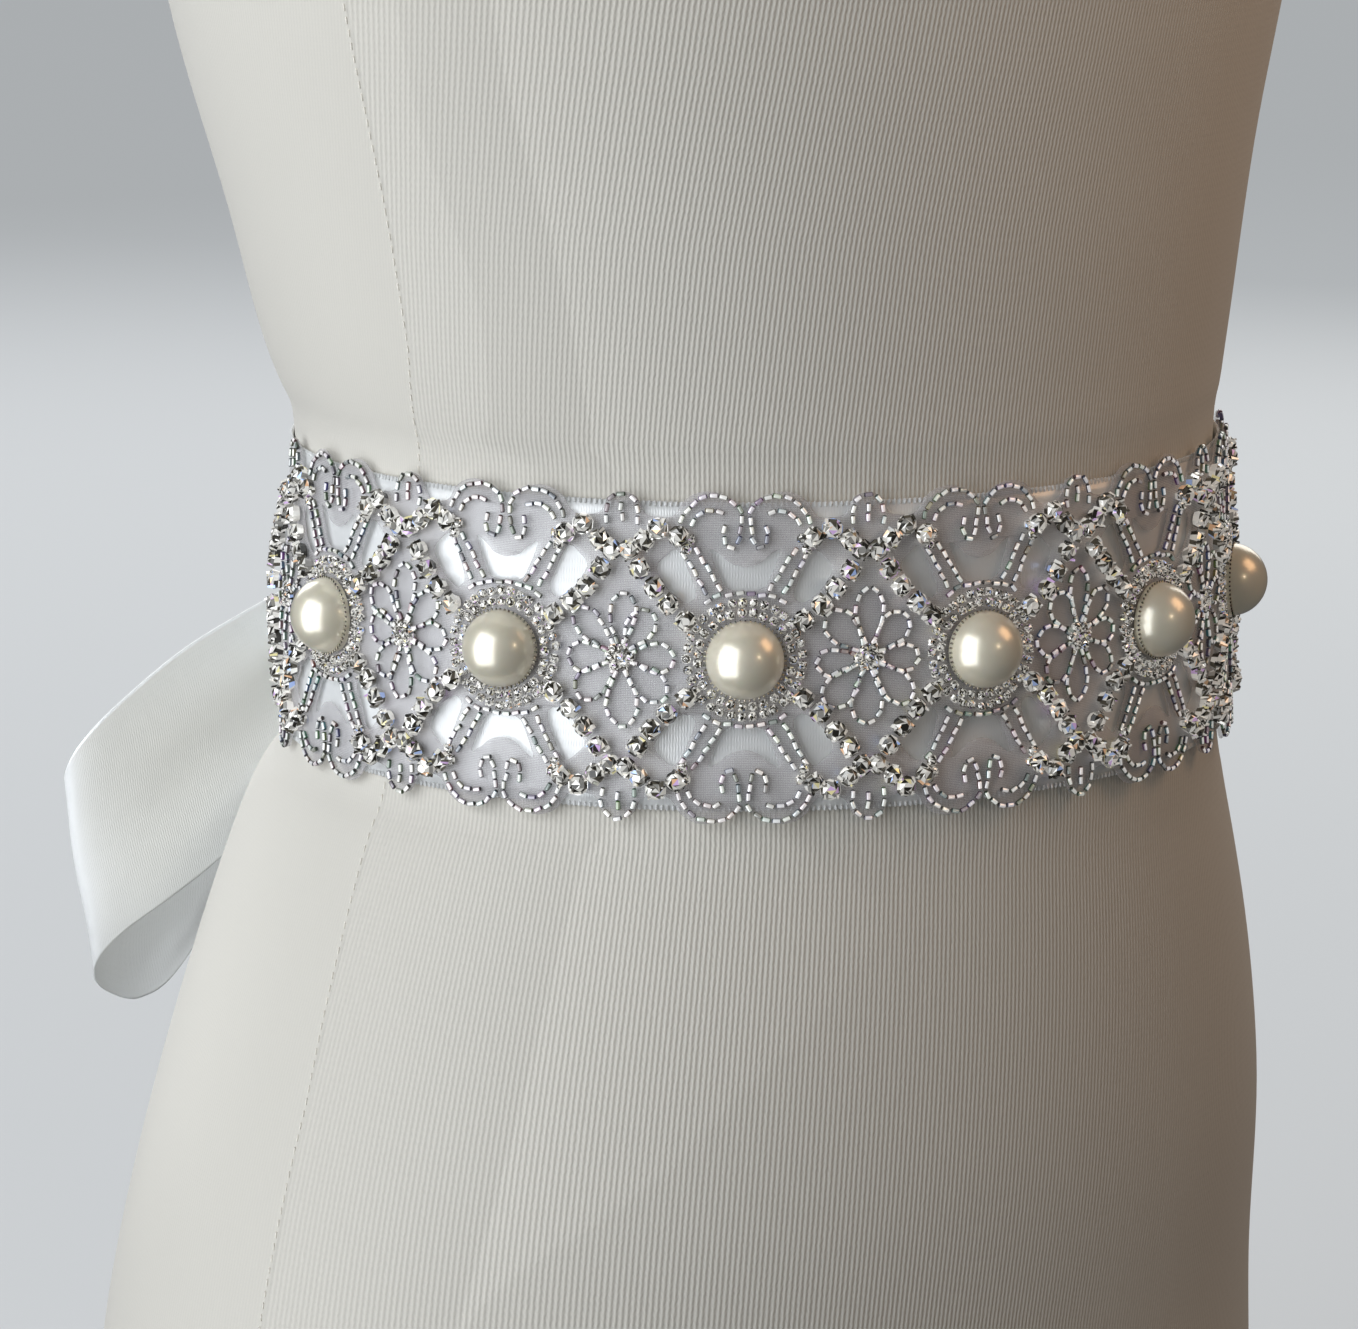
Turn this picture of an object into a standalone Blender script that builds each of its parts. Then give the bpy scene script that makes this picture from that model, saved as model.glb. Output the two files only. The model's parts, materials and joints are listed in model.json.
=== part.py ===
"""Bridal sash on a dress form.

A satin ribbon is tied round the waist of a limbless dress form with a bow at the back. A beaded
organza applique lies on the ribbon's front, with rhinestone chain and large pearls on it.
The origin is the centre of the form's flat base, +Z is up and the sash faces -Y.
"""
import math

import bmesh
import bpy
import numpy as np
from mathutils import Vector

MM = 0.001

# The waist, in metres: the surface that the beads sit on is a slightly conical oval
WAIST_HEIGHT = 0.285
WAIST_MEAN_RADIUS = 0.1045
WAIST_WIDTH_TO_DEPTH = 1.07
WAIST_CENTRE_Y = -0.0218
WAIST_CONE = 0.045

# Ribbon and applique, in metres
RIBBON_WIDTH = 0.0635
RIBBON_WALL = 0.0010
NET_WALL = 0.0010
SEAM_GAP = 0.0003
LAYER_GAP = 0.00035
BOW_WALL = 0.0011
FORM_COLUMNS = 36
RIBBON_COLUMNS = 72

# The applique repeats a flower and a pearl, and is centred on a flower
REPEAT = 0.0508
FLOWER_COUNT = 9
APPLIQUE_SHIFT = -0.0034
STATIONS_PER_REPEAT = 6

# Pearls and the rhinestones round them, in metres
PEARL_RADIUS = 0.0080
PEARL_CENTRE_OUT = 0.0030
PEARL_SEGMENTS = 14
PEARL_RINGS = 8
RING_INNER_RADIUS = 0.0086
RING_OUTER_RADIUS = 0.0124
RING_SEGMENTS = 12
CHAIN_WIDTH = 0.0039
CHAIN_HEIGHT = 0.0022
SHARPEST_MITRE = 0.55

# Depths of the layers, measured outward from the surface that the beads sit on
NET_INNER = -NET_WALL
RIBBON_OUTER = NET_INNER - LAYER_GAP
RIBBON_INNER = RIBBON_OUTER - RIBBON_WALL
FORM_UNDER_RIBBON = RIBBON_INNER - LAYER_GAP
CHAIN_INNER = SEAM_GAP

# Sections of the dress form away from the ribbon, in mm:
# height above the floor, mean radius, centre's y, width over depth
FORM_SECTIONS = (
    (0.0, 124.0, 0.0, 1.17),
    (5.0, 127.0, 0.0, 1.17),
    (30.0, 130.0, 0.6, 1.17),
    (60.0, 132.6, 0.8, 1.17),
    (90.0, 133.2, 0.4, 1.17),
    (125.0, 130.3, -1.7, 1.16),
    (165.0, 126.0, -8.7, 1.14),
    (205.0, 118.0, -13.7, 1.11),
    (225.0, 112.8, -15.7, 1.09),
    (238.0, 108.9, -17.2, 1.08),
    (245.0, 106.2, -19.2, 1.07),
    (326.0, 102.9, -20.8, 1.07),
    (333.0, 104.9, -19.2, 1.08),
    (345.0, 107.6, -17.7, 1.09),
    (365.0, 111.0, -16.1, 1.10),
    (385.0, 115.4, -13.8, 1.12),
    (405.0, 120.2, -12.6, 1.14),
    (425.0, 123.6, -12.6, 1.16),
    (450.0, 129.0, -13.4, 1.18),
    (478.0, 131.0, -12.4, 1.23),
    (510.0, 127.0, -8.0, 1.32),
    (545.0, 120.0, -3.0, 1.45),
    (580.0, 112.0, 0.5, 1.62),
    (608.0, 100.0, 3.0, 1.78),
    (632.0, 80.0, 4.6, 1.72),
    (650.0, 61.0, 4.2, 1.38),
    (664.0, 53.0, 2.6, 1.14),
    (684.0, 50.0, 0.6, 1.06),
    (705.0, 50.0, -1.0, 1.04),
    (710.0, 47.0, -1.0, 1.04),
)
PINCHED_RISES = (-0.036, -0.0322, -0.016, 0.0, 0.016, 0.0322, 0.036)
LONGEST_FORM_STEP = 26.0

# Half of the applique's top edge over one flower, in mm from the flower's centre: across, up
EDGE_HALF = (
    (0.0, 33.6), (2.9, 32.6), (4.5, 29.6), (6.4, 28.7), (9.6, 28.6), (11.3, 29.8),
    (12.6, 31.9), (15.0, 33.5), (18.2, 34.0), (21.6, 33.1), (24.0, 31.0), (25.4, 29.0),
)
# The applique's end, past the outermost flower: across, up
END_HALF = ((6.4, 28.7), (9.2, 23.2), (13.4, 15.4), (17.6, 7.6), (18.9, 0.0))
# Gaps cut through the net, in mm from a pearl's centre: the slot beside a chain, the V between arms
SLOT_GAP = ((-18.6, 18.6), (-14.6, 22.4), (-13.0, 21.2), (-9.6, 12.9), (-11.8, 10.9), (-15.9, 14.0))
V_GAP = (
    (-7.4, 22.7), (-5.0, 21.2), (-2.9, 19.3), (0.0, 18.6), (2.9, 19.3), (5.0, 21.2), (7.4, 22.7),
    (6.0, 18.6), (3.8, 13.9), (-3.8, 13.9), (-6.0, 18.6),
)
# Rhinestone chain, in mm from a flower's centre: the arch over the flower and the hook on its tip
ARCH_HALF = ((15.4, 6.6), (9.6, 11.3), (5.0, 16.9), (2.2, 21.4))
ARCH_TIP = (0.0, 23.9)
HOOK = ((3.2, 22.4), (6.4, 26.4), (10.2, 26.3), (13.0, 23.2))
END_ARC = ((15.0, 7.2), (17.0, 0.0), (15.0, -7.2))

# Bow, in metres and mm
KNOT_DROP = 0.014
KNOT_SIZE = (0.024, 0.017, 0.031)
KNOT_PINCH = 0.16
KNOT_SUBDIVISIONS = 1
# A loop's sections from the knot out, round its tip and back, in mm from the knot's centre:
# outward, backward, down, width, lower edge nearer the knot, lower edge further back, pleat depth
LOOP_SECTIONS = (
    (12.0, -0.5, 2.0, 22.0, 0.0, 0.5, 2.0),
    (26.0, 2.0, 15.0, 38.0, 10.0, 6.0, 1.6),
    (45.0, 5.0, 28.0, 54.0, 18.0, 13.0, 0.9),
    (64.5, 7.0, 38.5, 62.0, 23.5, 17.0, 0.4),
    (80.5, 9.5, 48.0, 63.5, 25.5, 19.5, 0.0),
    (89.0, 13.0, 55.0, 63.5, 25.5, 21.5, 0.0),
    (91.5, 18.5, 62.0, 63.5, 24.5, 22.5, 0.0),
    (87.0, 26.0, 69.5, 63.5, 23.5, 22.0, 0.0),
    (75.5, 33.0, 75.0, 63.5, 19.5, 20.5, 0.0),
    (61.0, 37.5, 77.5, 63.5, 13.5, 18.0, 0.4),
    (48.0, 36.5, 72.0, 60.0, 7.0, 14.0, 0.9),
    (33.0, 29.0, 50.0, 49.0, 3.0, 8.0, 1.6),
    (20.5, 17.0, 26.0, 35.0, 2.0, 3.0, 2.0),
    (12.0, 7.0, 4.0, 20.0, 0.0, 0.5, 1.8),
)
LOOP_POINTS_ACROSS = 5
# A tail's sections from the knot down, in mm: down from the knot's centre, outward, clear of the
# form, width, pleat depth
TAIL_SECTIONS = (
    (15.9, 5.6, 9.0, 9.0, 0.3),
    (32.0, 16.0, 4.5, 28.0, 0.8),
    (55.0, 25.0, 3.5, 44.0, 0.8),
    (85.0, 33.0, 3.2, 57.0, 1.0),
    (120.0, 38.5, 3.5, 63.5, 1.3),
    (158.0, 42.0, 4.5, 63.5, 1.6),
    (195.0, 45.0, 6.0, 63.5, 1.9),
    (226.0, 47.0, 7.5, 63.5, 2.1),
)
TAIL_SLANT = 0.020
TAIL_POINTS_ACROSS = 7
STEPS_BETWEEN_SECTIONS = 2
# A crease runs once from ridge to ridge over half a ribbon's width
CREASE_TURN = 4.0 * math.pi
TAIL_CREASE_START = 0.6

# Colour, roughness and metallic value of each material
FINISHES = {
    "form_cover": ((0.80, 0.77, 0.68), 0.85, 0.0),
    "satin": ((0.90, 0.89, 0.85), 0.35, 0.0),
    "organza": ((0.74, 0.72, 0.75), 0.60, 0.0),
    "rhinestone": ((0.70, 0.71, 0.73), 0.20, 0.9),
    "pearl": ((0.88, 0.84, 0.77), 0.20, 0.0),
}


def clear_scene():
    """Remove whatever the opened file holds."""
    for thing in list(bpy.data.objects):
        bpy.data.objects.remove(thing, do_unlink=True)


def new_collection(name):
    """Return an empty collection in the scene."""
    collection = bpy.data.collections.new(name)
    bpy.context.scene.collection.children.link(collection)
    return collection


def make_material(name, finish):
    """Return a Principled material with one of the FINISHES."""
    colour, roughness, metallic = FINISHES[finish]
    material = bpy.data.materials.new(name)
    material.use_nodes = True
    shader = material.node_tree.nodes["Principled BSDF"]
    shader.inputs["Base Color"].default_value = (*colour, 1.0)
    shader.inputs["Roughness"].default_value = roughness
    shader.inputs["Metallic"].default_value = metallic
    return material


def add_object(name, mesh, finish, collection):
    """Put a mesh in the scene as one named part with a material of its own."""
    part = bpy.data.objects.new(name, mesh)
    collection.objects.link(part)
    mesh.materials.clear()
    mesh.materials.append(make_material(name + "_finish", finish))
    mesh.shade_smooth()
    mesh.set_sharp_from_angle(angle=math.radians(40.0))
    return part


def mesh_from_grid(name, rows, closed_across=False, capped=False):
    """Loft through equal rows of points, with flat caps on the first and last where asked."""
    shape = bmesh.new()
    grid = [[shape.verts.new(point) for point in row] for row in rows]
    count = len(grid[0])
    spans = count if closed_across else count - 1
    for lower, upper in zip(grid, grid[1:]):
        for i in range(spans):
            j = (i + 1) % count
            shape.faces.new((lower[i], lower[j], upper[j], upper[i]))
    if capped:
        shape.faces.new(grid[0])
        shape.faces.new(grid[-1])
    bmesh.ops.recalc_face_normals(shape, faces=shape.faces)
    mesh = bpy.data.meshes.new(name)
    shape.to_mesh(mesh)
    shape.free()
    return mesh


def oval(mean_radius, width_to_depth):
    """Return an oval's half width and half depth."""
    half_depth = mean_radius * math.sqrt(2.0 / (1.0 + width_to_depth ** 2))
    return width_to_depth * half_depth, half_depth


WAIST_HALF_WIDTH, WAIST_HALF_DEPTH = oval(WAIST_MEAN_RADIUS, WAIST_WIDTH_TO_DEPTH)


def waist_point(turn, rise, out):
    """Return a point of the waist: turn from the front, rise over its middle, distance out."""
    flat = Vector((math.sin(turn) / WAIST_HALF_WIDTH, -math.cos(turn) / WAIST_HALF_DEPTH, 0.0))
    reach = out - WAIST_CONE * rise
    base = Vector((
        WAIST_HALF_WIDTH * math.sin(turn),
        WAIST_CENTRE_Y - WAIST_HALF_DEPTH * math.cos(turn),
        WAIST_HEIGHT + rise,
    ))
    return base + flat.normalized() * reach


def waist_turns():
    """Return turns right round the waist and the arc length at each, from the front."""
    turns = np.linspace(-math.pi, math.pi, 1441)
    speed = np.hypot(WAIST_HALF_WIDTH * np.cos(turns), WAIST_HALF_DEPTH * np.sin(turns))
    steps = (speed[1:] + speed[:-1]) / 2.0 * np.diff(turns)
    arcs = np.concatenate(([0.0], np.cumsum(steps)))
    return turns, arcs - arcs[-1] / 2.0


TURNS, ARCS = waist_turns()


def lay_on_waist(point):
    """Wrap a point of the flat applique, (across, up, out), round the waist."""
    turn = float(np.interp(point[0] + APPLIQUE_SHIFT, ARCS, TURNS))
    return waist_point(turn, point[1], point[2])


def blend_rows(rows, place):
    """Read a table of numbers at a fractional row on a smooth curve through its rows."""
    last = len(rows) - 1
    low = min(int(place), last - 1)
    t = place - low
    before, start, end, after = (
        np.array(rows[max(0, min(last, low + k))], dtype=float) for k in (-1, 0, 1, 2)
    )
    slope_in = (end - before) / 2.0
    slope_out = (after - start) / 2.0
    return (
        (2 * t ** 3 - 3 * t ** 2 + 1) * start
        + (t ** 3 - 2 * t ** 2 + t) * slope_in
        + (3 * t ** 2 - 2 * t ** 3) * end
        + (t ** 3 - t ** 2) * slope_out
    )


def form_sections():
    """Return every section of the dress form in metres, bottom to top."""
    sections = [
        (height * MM, radius * MM, centre * MM, ratio)
        for height, radius, centre, ratio in FORM_SECTIONS
    ]
    for rise in PINCHED_RISES:
        reach = WAIST_MEAN_RADIUS + FORM_UNDER_RIBBON - WAIST_CONE * rise
        sections.append((WAIST_HEIGHT + rise, reach, WAIST_CENTRE_Y, WAIST_WIDTH_TO_DEPTH))
    sections.sort()
    finer = []
    for i, (lower, upper) in enumerate(zip(sections, sections[1:])):
        finer.append(lower)
        if upper[0] - lower[0] > LONGEST_FORM_STEP * MM:
            finer.append(tuple(blend_rows(sections, i + 0.5)))
    finer.append(sections[-1])
    return finer


def form_back(x, height, sections):
    """Return the y of the form's back surface at a width and a height."""
    heights = [section[0] for section in sections]
    radius, centre, ratio = (
        float(np.interp(height, heights, [section[k] for section in sections])) for k in (1, 2, 3)
    )
    half_width, half_depth = oval(radius, ratio)
    return centre + half_depth * math.sqrt(max(0.0, 1.0 - (x / half_width) ** 2))


def build_form(collection, sections):
    """Build the dress form: one smooth closed body with a flat base and a flat neck."""
    rows = []
    for height, radius, centre, ratio in sections:
        half_width, half_depth = oval(radius, ratio)
        ring = []
        for i in range(FORM_COLUMNS):
            turn = 2.0 * math.pi * i / FORM_COLUMNS
            ring.append((half_width * math.sin(turn), centre - half_depth * math.cos(turn), height))
        rows.append(ring)
    mesh = mesh_from_grid("dress_form", rows, closed_across=True, capped=True)
    add_object("dress_form", mesh, "form_cover", collection)


def build_ribbon(collection):
    """Build the ribbon round the waist: a thin conical band."""
    half = RIBBON_WIDTH / 2.0
    corners = ((-half, RIBBON_INNER), (-half, RIBBON_OUTER), (half, RIBBON_OUTER), (half, RIBBON_INNER))
    rows = []
    for i in range(RIBBON_COLUMNS):
        turn = 2.0 * math.pi * i / RIBBON_COLUMNS
        rows.append([waist_point(turn, rise, out) for rise, out in corners])
    rows.append(rows[0])
    mesh = mesh_from_grid("ribbon_band", rows, closed_across=True)
    shape = bmesh.new()
    shape.from_mesh(mesh)
    bmesh.ops.remove_doubles(shape, verts=shape.verts, dist=1e-6)
    bmesh.ops.recalc_face_normals(shape, faces=shape.faces)
    shape.to_mesh(mesh)
    shape.free()
    add_object("ribbon_band", mesh, "satin", collection)


def flat_prism(name, outlines, depth):
    """Return a flat plate as a mesh from closed outlines in metres; inner outlines are holes."""
    curve = bpy.data.curves.new(name, "CURVE")
    curve.dimensions = "2D"
    curve.fill_mode = "BOTH"
    curve.extrude = depth / 2.0
    for outline in outlines:
        spline = curve.splines.new("POLY")
        spline.points.add(len(outline) - 1)
        for control, (across, up) in zip(spline.points, outline):
            control.co = (across, up, 0.0, 1.0)
        spline.use_cyclic_u = True
    holder = bpy.data.objects.new(name, curve)
    bpy.context.scene.collection.objects.link(holder)
    bpy.context.view_layer.update()
    evaluated = holder.evaluated_get(bpy.context.evaluated_depsgraph_get())
    mesh = bpy.data.meshes.new_from_object(evaluated)
    bpy.data.objects.remove(holder, do_unlink=True)
    shape = bmesh.new()
    shape.from_mesh(mesh)
    bmesh.ops.remove_doubles(shape, verts=shape.verts, dist=1e-6)
    bmesh.ops.recalc_face_normals(shape, faces=shape.faces)
    shape.to_mesh(mesh)
    shape.free()
    return mesh


def flower_centres():
    """Return each flower's place along the applique."""
    return [REPEAT * (i - (FLOWER_COUNT - 1) / 2.0) for i in range(FLOWER_COUNT)]


def pearl_centres():
    """Return each pearl's place along the applique: halfway between two flowers."""
    return [place + REPEAT / 2.0 for place in flower_centres()[:-1]]


def applique_outline():
    """Return the applique's scalloped outline, in metres."""
    top = []
    places = flower_centres()
    first_end = [(-across, up) for across, up in reversed(END_HALF[1:])]
    top += [(places[0] + across * MM, up * MM) for across, up in first_end]
    for place in places:
        half = EDGE_HALF[:4] if place == places[0] else EDGE_HALF
        top += [(place - across * MM, up * MM) for across, up in reversed(half[1:])]
        half = EDGE_HALF[:4] if place == places[-1] else EDGE_HALF[:-1]
        top += [(place + across * MM, up * MM) for across, up in half]
    top += [(places[-1] + across * MM, up * MM) for across, up in END_HALF[1:]]
    bottom = [(across, -up) for across, up in reversed(top[1:-1])]
    return top + bottom


def applique_gaps():
    """Return the outlines of the gaps: four slots and two V shapes round each pearl."""
    gaps = []
    for place in pearl_centres():
        for flip_up in (1.0, -1.0):
            gaps.append([(place + across * MM, flip_up * up * MM) for across, up in V_GAP])
            for flip_across in (1.0, -1.0):
                gaps.append([
                    (place + flip_across * across * MM, flip_up * up * MM) for across, up in SLOT_GAP
                ])
    return gaps


def cut_at_stations(shape):
    """Cut a flat plate across at even stations, and leave no other inner edge on its flat faces."""
    step = REPEAT / STATIONS_PER_REPEAT
    reach = int(FLOWER_COUNT * STATIONS_PER_REPEAT / 2)
    for i in range(-reach, reach + 1):
        parts = shape.verts[:] + shape.edges[:] + shape.faces[:]
        bmesh.ops.bisect_plane(shape, geom=parts, dist=1e-6, plane_co=(step * i, 0, 0), plane_no=(1, 0, 0))
    shape.normal_update()
    spare = []
    for edge in shape.edges:
        flat = len(edge.link_faces) == 2 and all(abs(face.normal.z) > 0.9 for face in edge.link_faces)
        places = [vertex.co.x / step for vertex in edge.verts]
        on_station = all(abs(place - round(places[0])) < 1e-3 for place in places)
        if flat and not on_station:
            spare.append(edge)
    bmesh.ops.dissolve_edges(shape, edges=spare, use_verts=True)


def wrap_plate(mesh, inner):
    """Wrap a flat plate round the waist, with its wall from the depth inner outward."""
    shape = bmesh.new()
    shape.from_mesh(mesh)
    cut_at_stations(shape)
    bmesh.ops.triangulate(shape, faces=shape.faces)
    lowest = min(vertex.co.z for vertex in shape.verts)
    for vertex in shape.verts:
        across, up, depth = vertex.co
        vertex.co = lay_on_waist((across, up, inner + depth - lowest))
    shape.to_mesh(mesh)
    shape.free()


def build_net(collection):
    """Build the organza that carries the beads, cut through where its gaps are."""
    mesh = flat_prism("applique_net", [applique_outline()] + applique_gaps(), NET_WALL)
    wrap_plate(mesh, NET_INNER)
    add_object("applique_net", mesh, "organza", collection)


def strip_outline(path, width):
    """Return the outline of a strip of even width along a flat path, in metres."""
    points = [Vector(point) for point in path]
    left, right = [], []
    for i, point in enumerate(points):
        before = points[max(0, i - 1)]
        after = points[min(len(points) - 1, i + 1)]
        run = (after - before).normalized()
        side = Vector((-run.y, run.x))
        leg = (after - point).normalized() if i < len(points) - 1 else run
        spread = width / 2.0 / max(SHARPEST_MITRE, abs(Vector((-leg.y, leg.x)).dot(side)))
        left.append(tuple(point + side * spread))
        right.append(tuple(point - side * spread))
    return left + right[::-1]


def circle(centre, radius, count):
    """Return a closed round outline."""
    return [
        (centre + radius * math.cos(2 * math.pi * i / count), radius * math.sin(2 * math.pi * i / count))
        for i in range(count)
    ]


def build_chain(collection):
    """Build the rhinestone chain: an arch over and under each flower, hooks, and rings."""
    arches, others = [], []
    places = flower_centres()
    for place in places:
        for flip in (1.0, -1.0):
            half = [(across * MM, flip * up * MM) for across, up in ARCH_HALF]
            tip = (place + ARCH_TIP[0] * MM, flip * ARCH_TIP[1] * MM)
            path = [(place - across, up) for across, up in half] + [tip]
            path += [(place + across, up) for across, up in reversed(half)]
            arches.append(strip_outline(path, CHAIN_WIDTH))
            for side in (1.0, -1.0):
                if place == places[0] and side < 0 or place == places[-1] and side > 0:
                    continue
                hook = [(place + side * across * MM, flip * up * MM) for across, up in HOOK]
                others.append(strip_outline(hook, CHAIN_WIDTH))
    for place, side in ((places[0], -1.0), (places[-1], 1.0)):
        arc = [(place + side * across * MM, up * MM) for across, up in END_ARC]
        others.append(strip_outline(arc, CHAIN_WIDTH))
    for place in pearl_centres():
        others.append(circle(place, RING_OUTER_RADIUS, RING_SEGMENTS))
        others.append(circle(place, RING_INNER_RADIUS, RING_SEGMENTS))
    chain = bpy.data.objects.new("rhinestone_chain", flat_prism("arches", arches, CHAIN_HEIGHT))
    joined = bpy.data.objects.new("others", flat_prism("others", others, CHAIN_HEIGHT))
    for part in (chain, joined):
        bpy.context.scene.collection.objects.link(part)
    union = chain.modifiers.new("join", "BOOLEAN")
    union.operation = "UNION"
    union.object = joined
    bpy.context.view_layer.update()
    evaluated = chain.evaluated_get(bpy.context.evaluated_depsgraph_get())
    mesh = bpy.data.meshes.new_from_object(evaluated)
    for part in (chain, joined):
        bpy.data.objects.remove(part, do_unlink=True)
    wrap_plate(mesh, CHAIN_INNER)
    add_object("rhinestone_chain", mesh, "rhinestone", collection)


def build_pearls(collection):
    """Build the pearls: round beads with flat backs, each at its place on the applique."""
    flat_back = LAYER_GAP - PEARL_CENTRE_OUT
    for number, place in enumerate(pearl_centres(), start=1):
        centre = lay_on_waist((place, 0.0, PEARL_CENTRE_OUT))
        outward = (centre - lay_on_waist((place, 0.0, 0.0))).normalized()
        shape = bmesh.new()
        bmesh.ops.create_uvsphere(
            shape, u_segments=PEARL_SEGMENTS, v_segments=PEARL_RINGS, radius=PEARL_RADIUS
        )
        parts = shape.verts[:] + shape.edges[:] + shape.faces[:]
        bmesh.ops.bisect_plane(
            shape, geom=parts, plane_co=(0, 0, flat_back), plane_no=(0, 0, 1), clear_inner=True
        )
        rim = [edge for edge in shape.edges if edge.is_boundary]
        bmesh.ops.edgeloop_fill(shape, edges=rim)
        bmesh.ops.recalc_face_normals(shape, faces=shape.faces)
        turned = outward.to_track_quat("Z", "Y").to_matrix().to_4x4()
        turned.translation = centre
        shape.transform(turned)
        mesh = bpy.data.meshes.new("pearl_%d" % number)
        shape.to_mesh(mesh)
        shape.free()
        add_object("pearl_%d" % number, mesh, "pearl", collection)


def knot_centre():
    """Return the knot's centre, just behind the ribbon at the centre back."""
    lower_part = -KNOT_DROP - KNOT_SIZE[2] / 4.0
    back = waist_point(math.pi, lower_part, RIBBON_OUTER + SEAM_GAP + KNOT_SIZE[1] / 2.0)
    return Vector((0.0, back.y, WAIST_HEIGHT - KNOT_DROP))


def build_knot(collection):
    """Build the knot: a soft rounded block with a waist, from a coarse cage."""
    shape = bmesh.new()
    bmesh.ops.create_cube(shape, size=1.0)
    bmesh.ops.subdivide_edges(shape, edges=shape.edges[:], cuts=1, use_grid_fill=True)
    for vertex in shape.verts:
        pinch = 1.0 - KNOT_PINCH * (1.0 - abs(2.0 * vertex.co.z))
        vertex.co = Vector((
            vertex.co.x * KNOT_SIZE[0] * pinch, vertex.co.y * KNOT_SIZE[1], vertex.co.z * KNOT_SIZE[2],
        )) + knot_centre()
    mesh = bpy.data.meshes.new("bow_knot")
    shape.to_mesh(mesh)
    shape.free()
    knot = add_object("bow_knot", mesh, "satin", collection)
    smooth = knot.modifiers.new("soft", "SUBSURF")
    smooth.levels = KNOT_SUBDIVISIONS
    smooth.render_levels = KNOT_SUBDIVISIONS


def add_wall(part, thickness):
    """Give an open sheet its wall, half to each side."""
    wall = part.modifiers.new("wall", "SOLIDIFY")
    wall.thickness = thickness
    wall.offset = 0.0
    wall.use_even_offset = True


def build_loop(collection, name, side, size, sag):
    """Build one bow loop: a sheet lofted from the knot out, round its tip and back."""
    knot = knot_centre()
    root, top = LOOP_SECTIONS[0][0], LOOP_SECTIONS[0][2]
    rows = []
    for i in range((len(LOOP_SECTIONS) - 1) * STEPS_BETWEEN_SECTIONS + 1):
        outward, backward, down, width, toe, kick, pleat = (
            blend_rows(LOOP_SECTIONS, i / STEPS_BETWEEN_SECTIONS)
        )
        fall = math.sqrt(width ** 2 - toe ** 2 - kick ** 2)
        edge = Vector((-side * toe, kick, -fall)) * MM
        reach = root + (outward - root) * size
        middle = knot + Vector((side * reach, backward, -top - (down - top) * sag)) * MM
        row = []
        for j in range(LOOP_POINTS_ACROSS):
            share = j / (LOOP_POINTS_ACROSS - 1) - 0.5
            crease = pleat * MM * math.cos(CREASE_TURN * share)
            row.append(middle + edge * share + Vector((0.0, crease, 0.0)))
        rows.append(row)
    part = add_object(name, mesh_from_grid(name, rows), "satin", collection)
    add_wall(part, BOW_WALL)


def build_tail(collection, name, side, length, sections):
    """Build one tail: a sheet that hangs from the knot down the form's back."""
    knot = knot_centre()
    top = TAIL_SECTIONS[0][0]
    count = (len(TAIL_SECTIONS) - 1) * STEPS_BETWEEN_SECTIONS
    rows = []
    for i in range(count + 1):
        down, outward, clear, width, pleat = blend_rows(TAIL_SECTIONS, i / STEPS_BETWEEN_SECTIONS)
        row = []
        for j in range(TAIL_POINTS_ACROSS):
            share = j / (TAIL_POINTS_ACROSS - 1) - 0.5
            x = side * (outward + share * width) * MM
            slant = TAIL_SLANT * share * (i / count) ** 4
            height = knot.z - (top + (down - top) * length) * MM - slant
            crease = pleat * MM * math.cos(CREASE_TURN * share + TAIL_CREASE_START * side)
            row.append(Vector((x, form_back(x, height, sections) + clear * MM + crease, height)))
        rows.append(row)
    part = add_object(name, mesh_from_grid(name, rows), "satin", collection)
    add_wall(part, BOW_WALL)


def main():
    """Build every part of the sash and its dress form."""
    clear_scene()
    collection = new_collection("bridal_sash")
    sections = form_sections()
    build_form(collection, sections)
    build_ribbon(collection)
    build_net(collection)
    build_chain(collection)
    build_pearls(collection)
    build_knot(collection)
    build_loop(collection, "bow_loop_right", -1.0, 1.0, 1.0)
    build_loop(collection, "bow_loop_left", 1.0, 0.96, 1.04)
    build_tail(collection, "bow_tail_right", -1.0, 1.0, sections)
    build_tail(collection, "bow_tail_left", 1.0, 0.94, sections)


main()
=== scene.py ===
"""Looks of a bridal sash on a dress form: satin ribbon, beaded applique, pearls and bow."""
import json
import math

import bmesh
import bpy
import numpy as np
from mathutils import Matrix, Vector
from mathutils.bvhtree import BVHTree

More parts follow.
